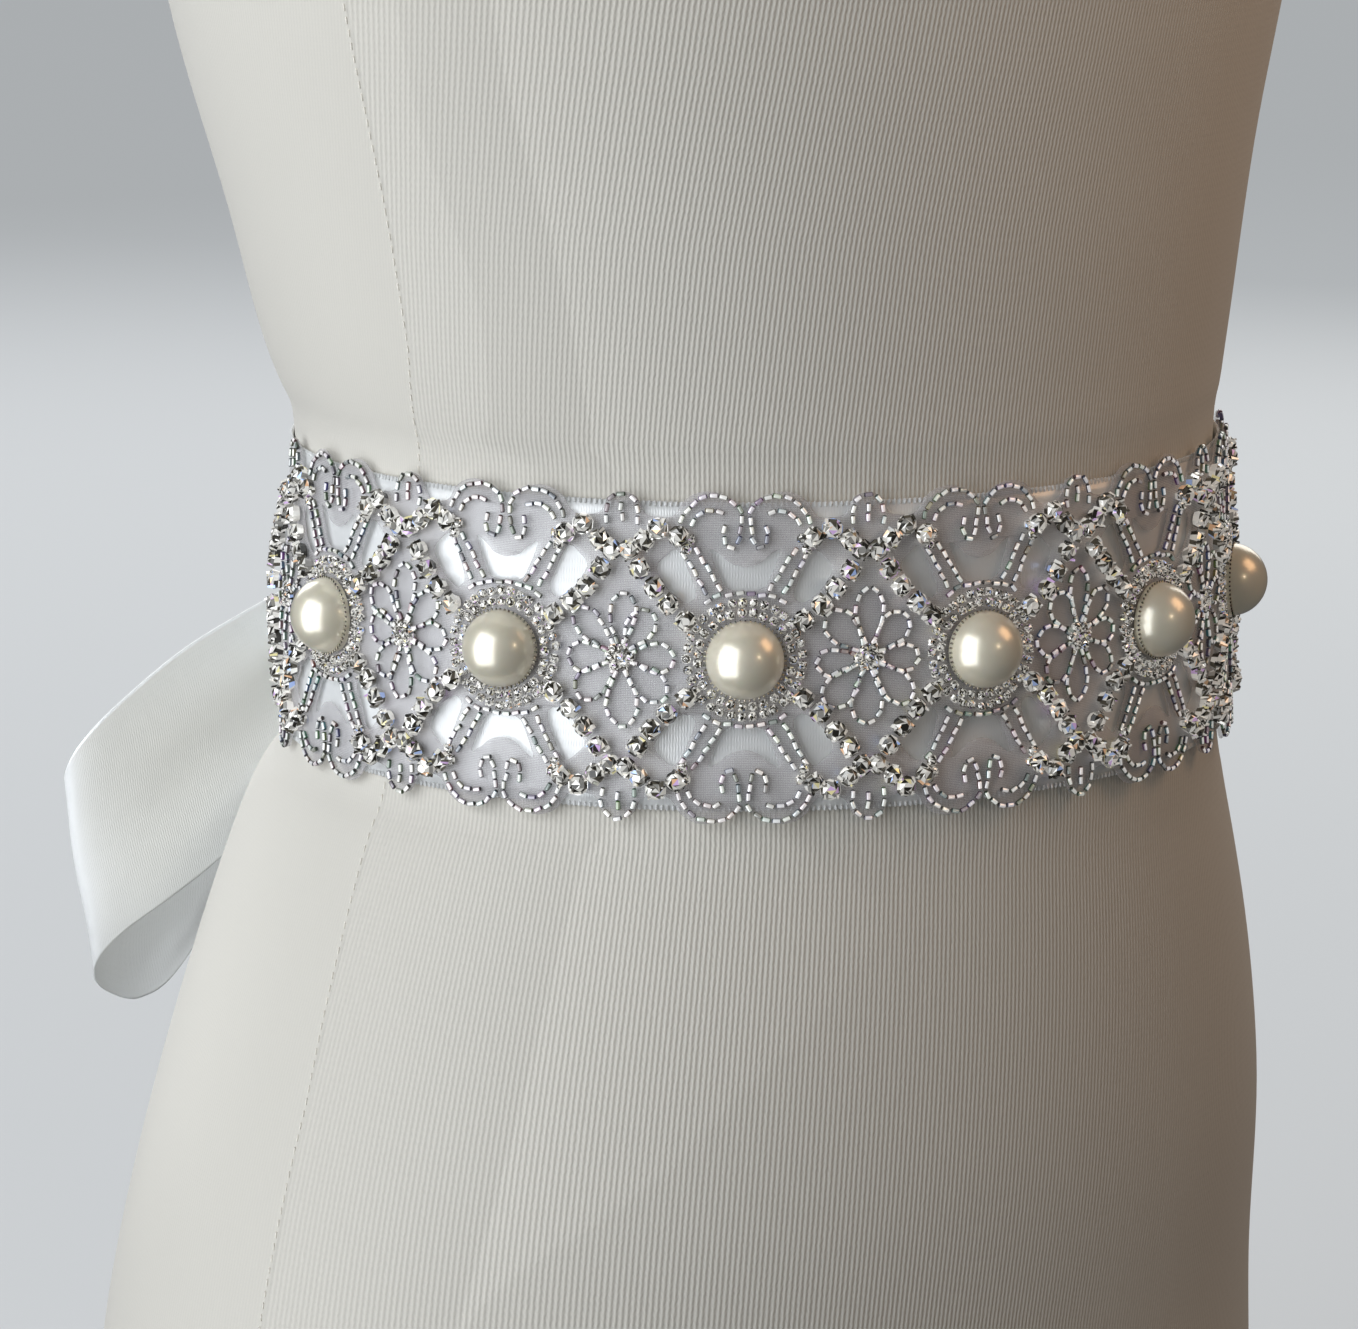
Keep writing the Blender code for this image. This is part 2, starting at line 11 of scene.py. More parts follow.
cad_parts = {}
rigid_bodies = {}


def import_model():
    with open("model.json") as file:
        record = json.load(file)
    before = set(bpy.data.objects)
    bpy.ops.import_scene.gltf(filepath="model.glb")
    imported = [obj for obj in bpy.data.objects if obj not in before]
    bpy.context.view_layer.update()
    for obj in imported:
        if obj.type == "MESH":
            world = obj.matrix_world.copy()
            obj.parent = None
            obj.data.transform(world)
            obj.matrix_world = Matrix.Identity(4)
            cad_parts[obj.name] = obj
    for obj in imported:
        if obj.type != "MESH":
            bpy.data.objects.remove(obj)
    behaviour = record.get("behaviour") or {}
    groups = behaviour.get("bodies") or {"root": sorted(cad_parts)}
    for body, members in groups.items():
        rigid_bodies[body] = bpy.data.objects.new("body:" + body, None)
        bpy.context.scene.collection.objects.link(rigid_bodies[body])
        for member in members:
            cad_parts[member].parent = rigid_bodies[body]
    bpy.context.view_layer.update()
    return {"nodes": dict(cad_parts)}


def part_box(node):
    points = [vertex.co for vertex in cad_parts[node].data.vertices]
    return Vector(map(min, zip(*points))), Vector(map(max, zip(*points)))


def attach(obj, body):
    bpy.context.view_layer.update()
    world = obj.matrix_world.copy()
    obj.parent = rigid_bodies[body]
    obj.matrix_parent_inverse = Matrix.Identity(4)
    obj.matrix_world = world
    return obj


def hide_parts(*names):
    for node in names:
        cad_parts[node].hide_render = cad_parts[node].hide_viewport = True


bl_info = {
    "name": "Bridal Sash",
    "version": (1, 0, 0),
    "blender": (4, 5, 0),
    "location": "View3D > Sidebar > Bridal Sash",
    "description": "Dresses a sash on a dress form with satin, organza, beads, rhinestones and pearls",
    "category": "Object",
}

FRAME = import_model()
MM = 0.001
BODY = "root"
CLOTH_UV = "Cloth"
PANEL_UV = "Panel"
GLINT = "Glint"

# The waist that the layers are wrapped round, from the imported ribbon
RIBBON_LOW, RIBBON_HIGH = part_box("ribbon_band")
RIBBON_WIDTH = RIBBON_HIGH[2] - RIBBON_LOW[2]
RIBBON_OUT = -1.35 * MM
WAIST_CONE = 0.045
WAIST_HEIGHT = (RIBBON_HIGH[2] + RIBBON_LOW[2]) / 2.0
WAIST_CENTRE_Y = (RIBBON_HIGH[1] + RIBBON_LOW[1]) / 2.0
WAIST_SHRINK = RIBBON_OUT + WAIST_CONE * RIBBON_WIDTH / 2.0
WAIST_HALF_WIDTH = (RIBBON_HIGH[0] - RIBBON_LOW[0]) / 2.0 - WAIST_SHRINK
WAIST_HALF_DEPTH = (RIBBON_HIGH[1] - RIBBON_LOW[1]) / 2.0 - WAIST_SHRINK

# The applique's layout, in mm from a flower's or a pearl's centre: across, up
FLOWER_COUNT = 9
APPLIQUE_SHIFT = -3.4
NET_EDGE = (
    (0.0, 33.6), (2.9, 32.6), (4.5, 29.6), (6.4, 28.7), (9.6, 28.6), (11.3, 29.8),
    (12.6, 31.9), (15.0, 33.5), (18.2, 34.0), (21.6, 33.1), (24.0, 31.0), (25.4, 29.0),
)
NET_END = ((6.4, 28.7), (9.2, 23.2), (13.4, 15.4), (17.6, 7.6), (18.9, 0.0))
SLOT_GAP = ((-18.6, 18.6), (-14.6, 22.4), (-13.0, 21.2), (-9.6, 12.9), (-11.8, 10.9), (-15.9, 14.0))
V_GAP = (
    (-7.4, 22.7), (-5.0, 21.2), (-2.9, 19.3), (0.0, 18.6), (2.9, 19.3), (5.0, 21.2), (7.4, 22.7),
    (6.0, 18.6), (3.8, 13.9), (-3.8, 13.9), (-6.0, 18.6),
)
ARCH = ((15.4, 6.6), (9.6, 11.3), (5.0, 16.9), (2.2, 21.4), (0.0, 23.9))
HOOK = ((3.2, 22.4), (6.4, 26.4), (10.2, 26.3), (13.0, 23.2))
END_ARC = ((15.0, 7.2), (17.0, 0.0), (15.0, -7.2))
LOBE = (
    (4.1, 27.6), (4.5, 25.4), (3.9, 23.6), (2.6, 22.9), (1.6, 24.2), (1.2, 26.4), (0.9, 28.4),
    (1.1, 30.4), (3.0, 32.3), (5.4, 33.2), (8.2, 33.0), (10.6, 31.7), (12.5, 29.5), (13.3, 27.4),
)
INNER_LOBE = ((4.4, 29.6), (5.9, 30.2), (8.3, 30.0), (10.2, 28.7), (11.2, 27.0))
ARM_LINES = (
    ((12.9, 22.0), (11.1, 19.0), (9.4, 16.0), (7.7, 13.1)),
    ((10.6, 22.9), (8.5, 20.0), (6.6, 16.8), (4.6, 13.9)),
)
SKIRT = ((-8.6, 11.2), (-6.2, 12.7), (-3.4, 13.3), (0.0, 13.6), (3.4, 13.3), (6.2, 12.7), (8.6, 11.2))
BUD = ((-3.2, 26.8), (-3.3, 30.0), (-2.2, 32.3), (0.0, 33.2), (2.2, 32.3), (3.3, 30.0), (3.2, 26.8))
BUD_LINE = ((0.0, 27.6), (0.0, 31.6))
# Petals: turn from straight up in degrees, length in mm
PETALS = ((0, 13.6), (45, 12.4), (90, 11.4), (135, 12.4), (180, 13.6), (225, 12.4), (270, 11.4), (315, 12.4))
PETAL_HALF = ((0.17, 0.5), (0.40, 1.9), (0.66, 2.9), (0.88, 2.3), (1.0, 0.0))
RING_ROWS = ((9.7, 27), (11.75, 33))

# The bow, in mm from the knot's centre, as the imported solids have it:
# outward, backward, down, width, lower edge nearer the knot, lower edge further back, pleat depth
KNOT_DROP = 14.0
KNOT_HALF_DEPTH = 8.5
LOOP_SECTIONS = (
    (12.0, -0.5, 2.0, 22.0, 0.0, 0.5, 2.0),
    (26.0, 2.0, 15.0, 38.0, 10.0, 6.0, 1.6),
    (45.0, 5.0, 28.0, 54.0, 18.0, 13.0, 0.9),
    (64.5, 7.0, 38.5, 62.0, 23.5, 17.0, 0.4),
    (80.5, 9.5, 48.0, 63.5, 25.5, 19.5, 0.0),
    (89.0, 13.0, 55.0, 63.5, 25.5, 21.5, 0.0),
    (91.5, 18.5, 62.0, 63.5, 24.5, 22.5, 0.0),
    (87.0, 26.0, 69.5, 63.5, 23.5, 22.0, 0.0),
    (75.5, 33.0, 75.0, 63.5, 19.5, 20.5, 0.0),
    (61.0, 37.5, 77.5, 63.5, 13.5, 18.0, 0.4),
    (48.0, 36.5, 72.0, 60.0, 7.0, 14.0, 0.9),
    (33.0, 29.0, 50.0, 49.0, 3.0, 8.0, 1.6),
    (20.5, 17.0, 26.0, 35.0, 2.0, 3.0, 2.0),
    (12.0, 7.0, 4.0, 20.0, 0.0, 0.5, 1.8),
)
# Down from the knot's centre, outward, clear of the form, width, pleat depth
TAIL_SECTIONS = (
    (15.9, 5.6, 9.0, 9.0, 0.3),
    (32.0, 16.0, 4.5, 28.0, 0.8),
    (55.0, 25.0, 3.5, 44.0, 0.8),
    (85.0, 33.0, 3.2, 57.0, 1.0),
    (120.0, 38.5, 3.5, 63.5, 1.3),
    (158.0, 42.0, 4.5, 63.5, 1.6),
    (195.0, 45.0, 6.0, 63.5, 1.9),
    (226.0, 47.0, 7.5, 63.5, 2.1),
)
TAIL_SLANT = 20.0
# Node, side, size beyond the root, sag
LOOPS = (("bow_loop_right", -1.0, 1.0, 1.0), ("bow_loop_left", 1.0, 0.96, 1.04))
TAILS = (("bow_tail_right", -1.0, 1.0), ("bow_tail_left", 1.0, 0.94))

# Down the form: height in mm, and the ribs' lean or the side seam's turn from the front in degrees
RIB_TWIST = ((60.0, -6.2), (150.0, -3.2), (245.0, 0.0), (328.0, 0.0), (368.0, 2.4), (406.0, 6.0), (470.0, 11.0))
SEAM_PATH = ((0.0, 93.5), (138.0, 92.0), (168.0, 90.6), (186.0, 89.8), (245.0, 89.6), (328.0, 84.6),
             (345.0, 83.3), (420.0, 83.8), (520.0, 87.0), (710.0, 90.0))

# Where the camera stands and looks, fitted to the photograph, in metres
CAMERA_PLACE = (-0.7848, -0.8481, 0.4946)
CAMERA_RIGHT = (0.7361, -0.6768, 0.0071)
CAMERA_UP = (0.1299, 0.1516, 0.9799)
CAMERA_LENS = 138.4
SENSOR_WIDTH = 36.0


class SashSizes(bpy.types.PropertyGroup):
    """Sizes that a maker of the sash would change."""

    repeat: bpy.props.FloatProperty(
        name="Repeat", description="From one pearl to the next", default=0.0508, unit="LENGTH"
    )
    bead_length: bpy.props.FloatProperty(
        name="Bead length", description="Length of a silver-lined bead", default=0.0019, unit="LENGTH"
    )
    bead_width: bpy.props.FloatProperty(
        name="Bead width", description="Width of a silver-lined bead", default=0.00105, unit="LENGTH"
    )
    bead_pitch: bpy.props.FloatProperty(
        name="Bead pitch", description="From one bead to the next", default=0.0022, unit="LENGTH"
    )
    stone_width: bpy.props.FloatProperty(
        name="Stone width", description="Width of a chain rhinestone", default=0.0047, unit="LENGTH"
    )
    stone_pitch: bpy.props.FloatProperty(
        name="Stone pitch", description="From one rhinestone to the next", default=0.0046, unit="LENGTH"
    )
    ring_stone_width: bpy.props.FloatProperty(
        name="Ring stone width", description="Width of a small stone", default=0.0021, unit="LENGTH"
    )
    pearl_width: bpy.props.FloatProperty(
        name="Pearl width", description="Diameter of a pearl", default=0.016, unit="LENGTH"
    )
    rib_pitch: bpy.props.FloatProperty(
        name="Rib pitch", description="From one knit rib to the next at the waist", default=0.00104,
        unit="LENGTH",
    )


class SashColours(bpy.types.PropertyGroup):
    """Colours that a maker of the sash would change."""

    satin: bpy.props.FloatVectorProperty(
        name="Satin", description="Ivory white ribbon", subtype="COLOR", default=(0.90, 0.91, 0.90)
    )
    organza: bpy.props.FloatVectorProperty(
        name="Organza", description="Sheer grey net", subtype="COLOR", default=(0.82, 0.79, 0.80)
    )
    cover: bpy.props.FloatVectorProperty(
        name="Cover", description="Cream jersey of the form", subtype="COLOR", default=(0.70, 0.67, 0.60)
    )
    pearl: bpy.props.FloatVectorProperty(
        name="Pearl", description="Ivory pearl", subtype="COLOR", default=(0.97, 0.90, 0.72)
    )
    silver: bpy.props.FloatVectorProperty(
        name="Silver", description="Bead lining and stone cups", subtype="COLOR",
        default=(0.80, 0.79, 0.75),
    )


def sizes():
    """Return the scene's sash sizes."""
    return bpy.context.scene.sash_sizes


def colours():
    """Return the scene's sash colours."""
    return bpy.context.scene.sash_colours


def waist_turns():
    """Return turns right round the waist and the arc length at each, from the front."""
    turns = np.linspace(-math.pi, math.pi, 2881)
    speed = np.hypot(WAIST_HALF_WIDTH * np.cos(turns), WAIST_HALF_DEPTH * np.sin(turns))
    arcs = np.concatenate(([0.0], np.cumsum((speed[1:] + speed[:-1]) / 2.0 * np.diff(turns))))
    return turns, arcs - arcs[-1] / 2.0


TURNS, ARCS = waist_turns()


def waist_points(turns, rises, outs):
    """Return points and outward directions for arrays of turn, rise and distance out."""
    normals = np.stack(
        (np.sin(turns) / WAIST_HALF_WIDTH, -np.cos(turns) / WAIST_HALF_DEPTH, np.zeros_like(turns)), -1
    )
    normals /= np.linalg.norm(normals, axis=-1, keepdims=True)
    base = np.stack(
        (
            WAIST_HALF_WIDTH * np.sin(turns),
            WAIST_CENTRE_Y - WAIST_HALF_DEPTH * np.cos(turns),
            WAIST_HEIGHT + rises,
        ),
        -1,
    )
    return base + normals * (outs - WAIST_CONE * rises)[..., None], normals


def lay(flat):
    """Wrap flat points, (across, up, out) in mm from the applique's middle, round the waist."""
    flat = np.asarray(flat, dtype=float)
    turns = np.interp((flat[..., 0] + APPLIQUE_SHIFT) * MM, ARCS, TURNS)
    return waist_points(turns, flat[..., 1] * MM, flat[..., 2] * MM)


def blend_rows(rows, place):
    """Read a table of numbers at a fractional row on a smooth curve through its rows."""
    last = len(rows) - 1
    low = min(int(place), last - 1)
    t = place - low
    before, start, end, after = (
        np.array(rows[max(0, min(last, low + k))], dtype=float) for k in (-1, 0, 1, 2)
    )
    return (
        (2 * t ** 3 - 3 * t ** 2 + 1) * start
        + (t ** 3 - 2 * t ** 2 + t) * (end - before) / 2.0
        + (3 * t ** 2 - 2 * t ** 3) * end
        + (t ** 3 - t ** 2) * (after - start) / 2.0
    )


def smooth_path(points, steps=12):
    """Return close points on a smooth curve through a few."""
    count = (len(points) - 1) * steps
    return np.array([blend_rows(points, i / steps) for i in range(count + 1)])


def spaced(path, pitch, inset=0.0):
    """Return places and directions at an even pitch along a flat path."""
    steps = np.linalg.norm(np.diff(path, axis=0), axis=1)
    along = np.concatenate(([0.0], np.cumsum(steps)))
    length = along[-1] - 2.0 * inset
    count = max(1, int(round(length / pitch)))
    marks = inset + (np.arange(count) + 0.5) * length / count
    places = np.stack([np.interp(marks, along, path[:, k]) for k in range(2)], -1)
    ahead = np.stack([np.interp(marks + 0.05, along, path[:, k]) for k in range(2)], -1)
    behind = np.stack([np.interp(marks - 0.05, along, path[:, k]) for k in range(2)], -1)
    runs = ahead - behind
    return places, runs / np.linalg.norm(runs, axis=1, keepdims=True)


def flower_places():
    """Return each flower's place along the applique, in mm."""
    repeat = sizes().repeat / MM
    return [repeat * (i - (FLOWER_COUNT - 1) / 2.0) for i in range(FLOWER_COUNT)]


def pearl_places():
    """Return each pearl's place along the applique, in mm."""
    return [place + sizes().repeat / MM / 2.0 for place in flower_places()[:-1]]


def flipped(points, across, up, place=0.0):
    """Mirror flat points across or up, and move them along the applique."""
    return [(place + across * x, up * y) for x, y in points]


def deselect_all():
    """Leave nothing selected or active."""
    for thing in bpy.context.view_layer.objects:
        thing.select_set(False)
    bpy.context.view_layer.objects.active = None


def activate(piece):
    """Select one object alone."""
    deselect_all()
    piece.select_set(True)
    bpy.context.view_layer.objects.active = piece


def apply_modifiers(piece):
    """Apply every modifier of a piece in order."""
    activate(piece)
    for name in [modifier.name for modifier in piece.modifiers]:
        bpy.ops.object.modifier_apply(modifier=name)


def settle(piece):
    """Put a piece's place, turn and scale in its mesh."""
    activate(piece)
    bpy.ops.object.transform_apply(location=True, rotation=True, scale=True)


def finish_piece(piece, name, materials):
    """Name a piece, give it its materials, and let it ride with the part."""
    piece.name = name
    piece.data.name = name
    piece.data.materials.clear()
    for material in materials:
        piece.data.materials.append(material)
    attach(piece, BODY)
    return piece


def grid_piece(name, points, uvs, closed=False):
    """Make a sheet from rows of points with a UV map in metres; closed joins each row's ends."""
    rows, count = points.shape[:2]
    faces, corners = [], []
    spans = count if closed else count - 1
    for i in range(rows - 1):
        for j in range(spans):
            k = (j + 1) % count
            faces.append((i * count + j, i * count + k, (i + 1) * count + k, (i + 1) * count + j))
            corners += [uvs[i][j], uvs[i][j + 1], uvs[i + 1][j + 1], uvs[i + 1][j]]
    mesh = bpy.data.meshes.new(name)
    mesh.from_pydata(points.reshape(-1, 3).tolist(), [], faces)
    layer = mesh.uv_layers.new(name=CLOTH_UV)
    layer.data.foreach_set("uv", np.array(corners, dtype=np.float32).ravel())
    mesh.shade_smooth()
    piece = bpy.data.objects.new(name, mesh)
    bpy.context.scene.collection.objects.link(piece)
    return piece


def thicken(piece, wall, offset=0.0):
    """Give a sheet its wall and apply it."""
    modifier = piece.modifiers.new("wall", "SOLIDIFY")
    modifier.thickness = wall
    modifier.offset = offset
    modifier.use_even_offset = True
    apply_modifiers(piece)


def scatter(name, master, places, frames, tone_and_glint):
    """Join copies of a small mesh, one at each place and frame, with a tint for every face: its own tone and, on
    beads, stones and rims, painted glint.
    """
    source = master.data
    points = np.empty(len(source.vertices) * 3)
    source.vertices.foreach_get("co", points)
    points = points.reshape(-1, 3)
    counts = {"loops": len(source.loops), "faces": len(source.polygons)}
    corners = np.empty(counts["loops"], dtype=np.int32)
    source.loops.foreach_get("vertex_index", corners)
    starts, totals, slots = (np.empty(counts["faces"], dtype=np.int32) for _ in range(3))
    source.polygons.foreach_get("loop_start", starts)
    source.polygons.foreach_get("loop_total", totals)
    source.polygons.foreach_get("material_index", slots)
    smooth = np.empty(counts["faces"], dtype=bool)
    source.polygons.foreach_get("use_smooth", smooth)
    many = len(places)
    laid = np.einsum("nij,vj->nvi", frames, points) + places[:, None, :]
    mesh = bpy.data.meshes.new(name)
    mesh.vertices.add(many * len(points))
    mesh.vertices.foreach_set("co", laid.ravel())
    mesh.loops.add(many * counts["loops"])
    step = np.arange(many, dtype=np.int32)[:, None]
    mesh.loops.foreach_set("vertex_index", (corners[None] + step * len(points)).ravel())
    mesh.polygons.add(many * counts["faces"])
    mesh.polygons.foreach_set("loop_start", (starts[None] + step * counts["loops"]).ravel())
    mesh.polygons.foreach_set("loop_total", np.tile(totals, many))
    mesh.polygons.foreach_set("material_index", np.tile(slots, many))
    mesh.polygons.foreach_set("use_smooth", np.tile(smooth, many))
    mesh.update(calc_edges=True)
    glint = mesh.color_attributes.new(name=GLINT, type="FLOAT_COLOR", domain="CORNER")
    rows = np.repeat(np.arange(many), counts["loops"])
    face_of_corner = np.tile(np.repeat(np.arange(counts["faces"]), totals), many)
    shades = np.ones((many * counts["loops"], 4))
    shades[:, :3] = tone_and_glint[rows, face_of_corner]
    glint.data.foreach_set("color", shades.ravel())
    mesh.validate()
    piece = bpy.data.objects.new(name, mesh)
    bpy.context.scene.collection.objects.link(piece)
    return piece


def frames_on_waist(flat, runs, out):
    """Return places and frames, along, aside and out, for flat places and directions."""
    count = len(flat)
    depth = np.full((count, 1), out)
    places, normals = lay(np.hstack((flat, depth)))
    ahead, _ = lay(np.hstack((flat + runs * 0.2, depth)))
    along = ahead - places
    along /= np.linalg.norm(along, axis=1, keepdims=True)
    aside = np.cross(normals, along)
    return places, np.stack((along, aside, normals), -1)


def new_material(name, colour, roughness, metallic=0.0):
    """Return a material's nodes, links and shader, with its plain values set."""
    material = bpy.data.materials.new(name)
    material.use_nodes = True
    nodes = material.node_tree.nodes
    shader = nodes["Principled BSDF"]
    shader.inputs["Base Color"].default_value = (*colour, 1.0)
    shader.inputs["Roughness"].default_value = roughness
    shader.inputs["Metallic"].default_value = metallic
    return material, nodes, material.node_tree.links, shader


def new_group(name, inputs, outputs):
    """Start a shader node group with named inputs and outputs."""
    group = bpy.data.node_groups.new(name, "ShaderNodeTree")
    for label, kind, value in inputs:
        socket = group.interface.new_socket(name=label, in_out="INPUT", socket_type=kind)
        if value is not None:
            socket.default_value = value
    for label, kind in outputs:
        group.interface.new_socket(name=label, in_out="OUTPUT", socket_type=kind)
    start = group.nodes.new("NodeGroupInput")
    end = group.nodes.new("NodeGroupOutput")
    return group, start, end


def math_node(nodes, links, operation, first, second=None, clamp=False):
    """Add a Math node fed by sockets or numbers, and return its output."""
    node = nodes.new("ShaderNodeMath")
    node.operation = operation
    node.use_clamp = clamp
    for socket, value in zip(node.inputs, (first, second)):
        if value is None:
            continue
        if isinstance(value, (int, float)):
            socket.default_value = value
        else:
            links.new(value, socket)
    return node.outputs[0]


def smooth_step(nodes, links, value, low, high):
    """Return 0 at low and 1 at high, smoothly between."""
    node = nodes.new("ShaderNodeMapRange")
    node.interpolation_type = "SMOOTHSTEP"
    node.inputs["From Min"].default_value = low
    node.inputs["From Max"].default_value = high
    links.new(value, node.inputs["Value"])
    return node.outputs[0]


def mix_values(nodes, links, share, first, second):
    """Return a blend of two values."""
    node = nodes.new("ShaderNodeMix")
    links.new(share, node.inputs[0])
    links.new(first, node.inputs[2])
    links.new(second, node.inputs[3])
    return node.outputs[0]


def cloth_coordinates(nodes):
    """Return the UV map node's output, in metres on the cloth."""
    node = nodes.new("ShaderNodeUVMap")
    node.uv_map = CLOTH_UV
    return node.outputs[0]


def ribs_group():
    """Return the group of raised lines across U: knit ribs, weave threads or satin floats."""
    group, start, end = new_group(
        "Ribs",
        [
            ("Vector", "NodeSocketVector", None),
            ("Pitch", "NodeSocketFloat", 0.001),
            ("Stitch", "NodeSocketFloat", 0.001),
            ("Unevenness", "NodeSocketFloat", 0.2),
            ("Cross", "NodeSocketFloat", 0.35),
        ],
        [("Height", "NodeSocketFloat"), ("Shade", "NodeSocketFloat")],
    )
    nodes, links = group.nodes, group.links
    split = nodes.new("ShaderNodeSeparateXYZ")
    links.new(start.outputs["Vector"], split.inputs[0])
    waver = nodes.new("ShaderNodeTexNoise")
    waver.inputs["Scale"].default_value = 900.0
    waver.inputs["Detail"].default_value = 2.0
    links.new(start.outputs["Vector"], waver.inputs["Vector"])
    across = math_node(nodes, links, "DIVIDE", split.outputs[0], start.outputs["Pitch"])
    drift = math_node(nodes, links, "MULTIPLY", waver.outputs["Fac"], start.outputs["Unevenness"])
    ribs = math_node(nodes, links, "SINE", math_node(
        nodes, links, "MULTIPLY", math_node(nodes, links, "ADD", across, drift), 2.0 * math.pi))
    down = math_node(nodes, links, "DIVIDE", split.outputs[1], start.outputs["Stitch"])
    slant = math_node(nodes, links, "MULTIPLY", ribs, 0.25)
    stitches = math_node(nodes, links, "SINE", math_node(
        nodes, links, "MULTIPLY", math_node(nodes, links, "ADD", down, slant), 2.0 * math.pi))
    small = math_node(nodes, links, "MULTIPLY", stitches, start.outputs["Cross"])
    whole = math_node(nodes, links, "ADD", ribs, small)
    noisy = math_node(nodes, links, "ADD", whole, drift)
    links.new(noisy, end.inputs["Height"])
    # Shade follows the height: on the cover it is painted shade, darker between the ribs; on the net it sets how
    # densely the threads cover
    shade = math_node(nodes, links, "MULTIPLY_ADD", noisy, 0.5)
    shade.node.inputs[2].default_value = 0.5
    links.new(shade, end.inputs["Shade"])
    return group


def mottle_group():
    """Return the group of soft uneven shade over cloth, pearl and card."""
    group, start, end = new_group(
        "Mottle",
        [
            ("Size", "NodeSocketFloat", 20.0),
            ("Amount", "NodeSocketFloat", 0.1),
        ],
        [("Shade", "NodeSocketFloat"), ("Height", "NodeSocketFloat")],
    )
    nodes, links = group.nodes, group.links
    place = nodes.new("ShaderNodeTexCoord")
    noise = nodes.new("ShaderNodeTexNoise")
    noise.inputs["Detail"].default_value = 4.0
    links.new(place.outputs["Object"], noise.inputs["Vector"])
    links.new(start.outputs["Size"], noise.inputs["Scale"])
    centred = math_node(nodes, links, "SUBTRACT", noise.outputs["Fac"], 0.5)
    shift = math_node(nodes, links, "MULTIPLY", centred, start.outputs["Amount"])
    links.new(math_node(nodes, links, "ADD", shift, 1.0), end.inputs["Shade"])
    links.new(noise.outputs["Fac"], end.inputs["Height"])
    return group


GROUPS = {"Ribs": ribs_group, "Mottle": mottle_group}


def place_group(nodes, name, **values):
    """Place a shared node group in a material with its own values."""
    node = nodes.new("ShaderNodeGroup")
    node.node_tree = bpy.data.node_groups.get(name) or GROUPS[name]()
    for label, value in values.items():
        node.inputs[label].default_value = value
    return node


def shade_colour(nodes, links, colour, shade):
    """Multiply a colour by a changing shade, and return the result."""
    mix = nodes.new("ShaderNodeVectorMath")
    mix.operation = "SCALE"
    mix.inputs[0].default_value = colour
    links.new(shade, mix.inputs["Scale"])
    return mix.outputs[0]


def bump(nodes, links, shader, height, depth, strength=1.0):
    """Feed a height in metres-scaled depth to the shader's normal."""
    node = nodes.new("ShaderNodeBump")
    node.inputs["Distance"].default_value = depth
    node.inputs["Strength"].default_value = strength
    links.new(height, node.inputs["Height"])
    links.new(node.outputs[0], shader.inputs["Normal"])
    return node


def satin_material():
    """Return the ribbon's ivory satin: close floats, soft sheen and faint unevenness."""
    found = bpy.data.materials.get("ivory_satin")
    if found:
        return found
    material, nodes, links, shader = new_material("ivory_satin", colours().satin, 0.33, 0.16)
    shader.inputs["Specular IOR Level"].default_value = 1.0
    shader.inputs["Anisotropic"].default_value = 0.45
    shader.inputs["Sheen Weight"].default_value = 0.12
    shader.inputs["Sheen Roughness"].default_value = 0.4
    ribs = place_group(nodes, "Ribs", Pitch=0.0006, Stitch=0.0021, Unevenness=0.9)
    links.new(cloth_coordinates(nodes), ribs.inputs["Vector"])
    mottle = place_group(nodes, "Mottle", Size=38.0, Amount=0.08)
    links.new(shade_colour(nodes, links, colours().satin, mottle.outputs["Shade"]), shader.inputs["Base Color"])
    bump(nodes, links, shader, ribs.outputs["Height"], 0.000012)
    return material


def organza_material():
    """Return the sheer net: crossed threads with light between them."""
    material, nodes, links, shader = new_material("grey_organza", colours().organza, 0.5)
    shader.inputs["Sheen Weight"].default_value = 0.5
    threads = place_group(nodes, "Ribs", Pitch=0.00036, Stitch=0.00036, Unevenness=0.5, Cross=0.9)
    links.new(cloth_coordinates(nodes), threads.inputs["Vector"])
    mottle = place_group(nodes, "Mottle", Size=160.0, Amount=0.35)
    links.new(shade_colour(nodes, links, colours().organza, mottle.outputs["Shade"]), shader.inputs["Base Color"])
    veil = nodes.new("ShaderNodeMapRange")
    veil.inputs["From Min"].default_value = 0.0
    veil.inputs["From Max"].default_value = 1.0
    veil.inputs["To Min"].default_value = 0.14
    veil.inputs["To Max"].default_value = 0.44
    links.new(threads.outputs["Shade"], veil.inputs["Value"])
    links.new(veil.outputs[0], shader.inputs["Alpha"])
    bump(nodes, links, shader, threads.outputs["Height"], 0.00002)
    return material


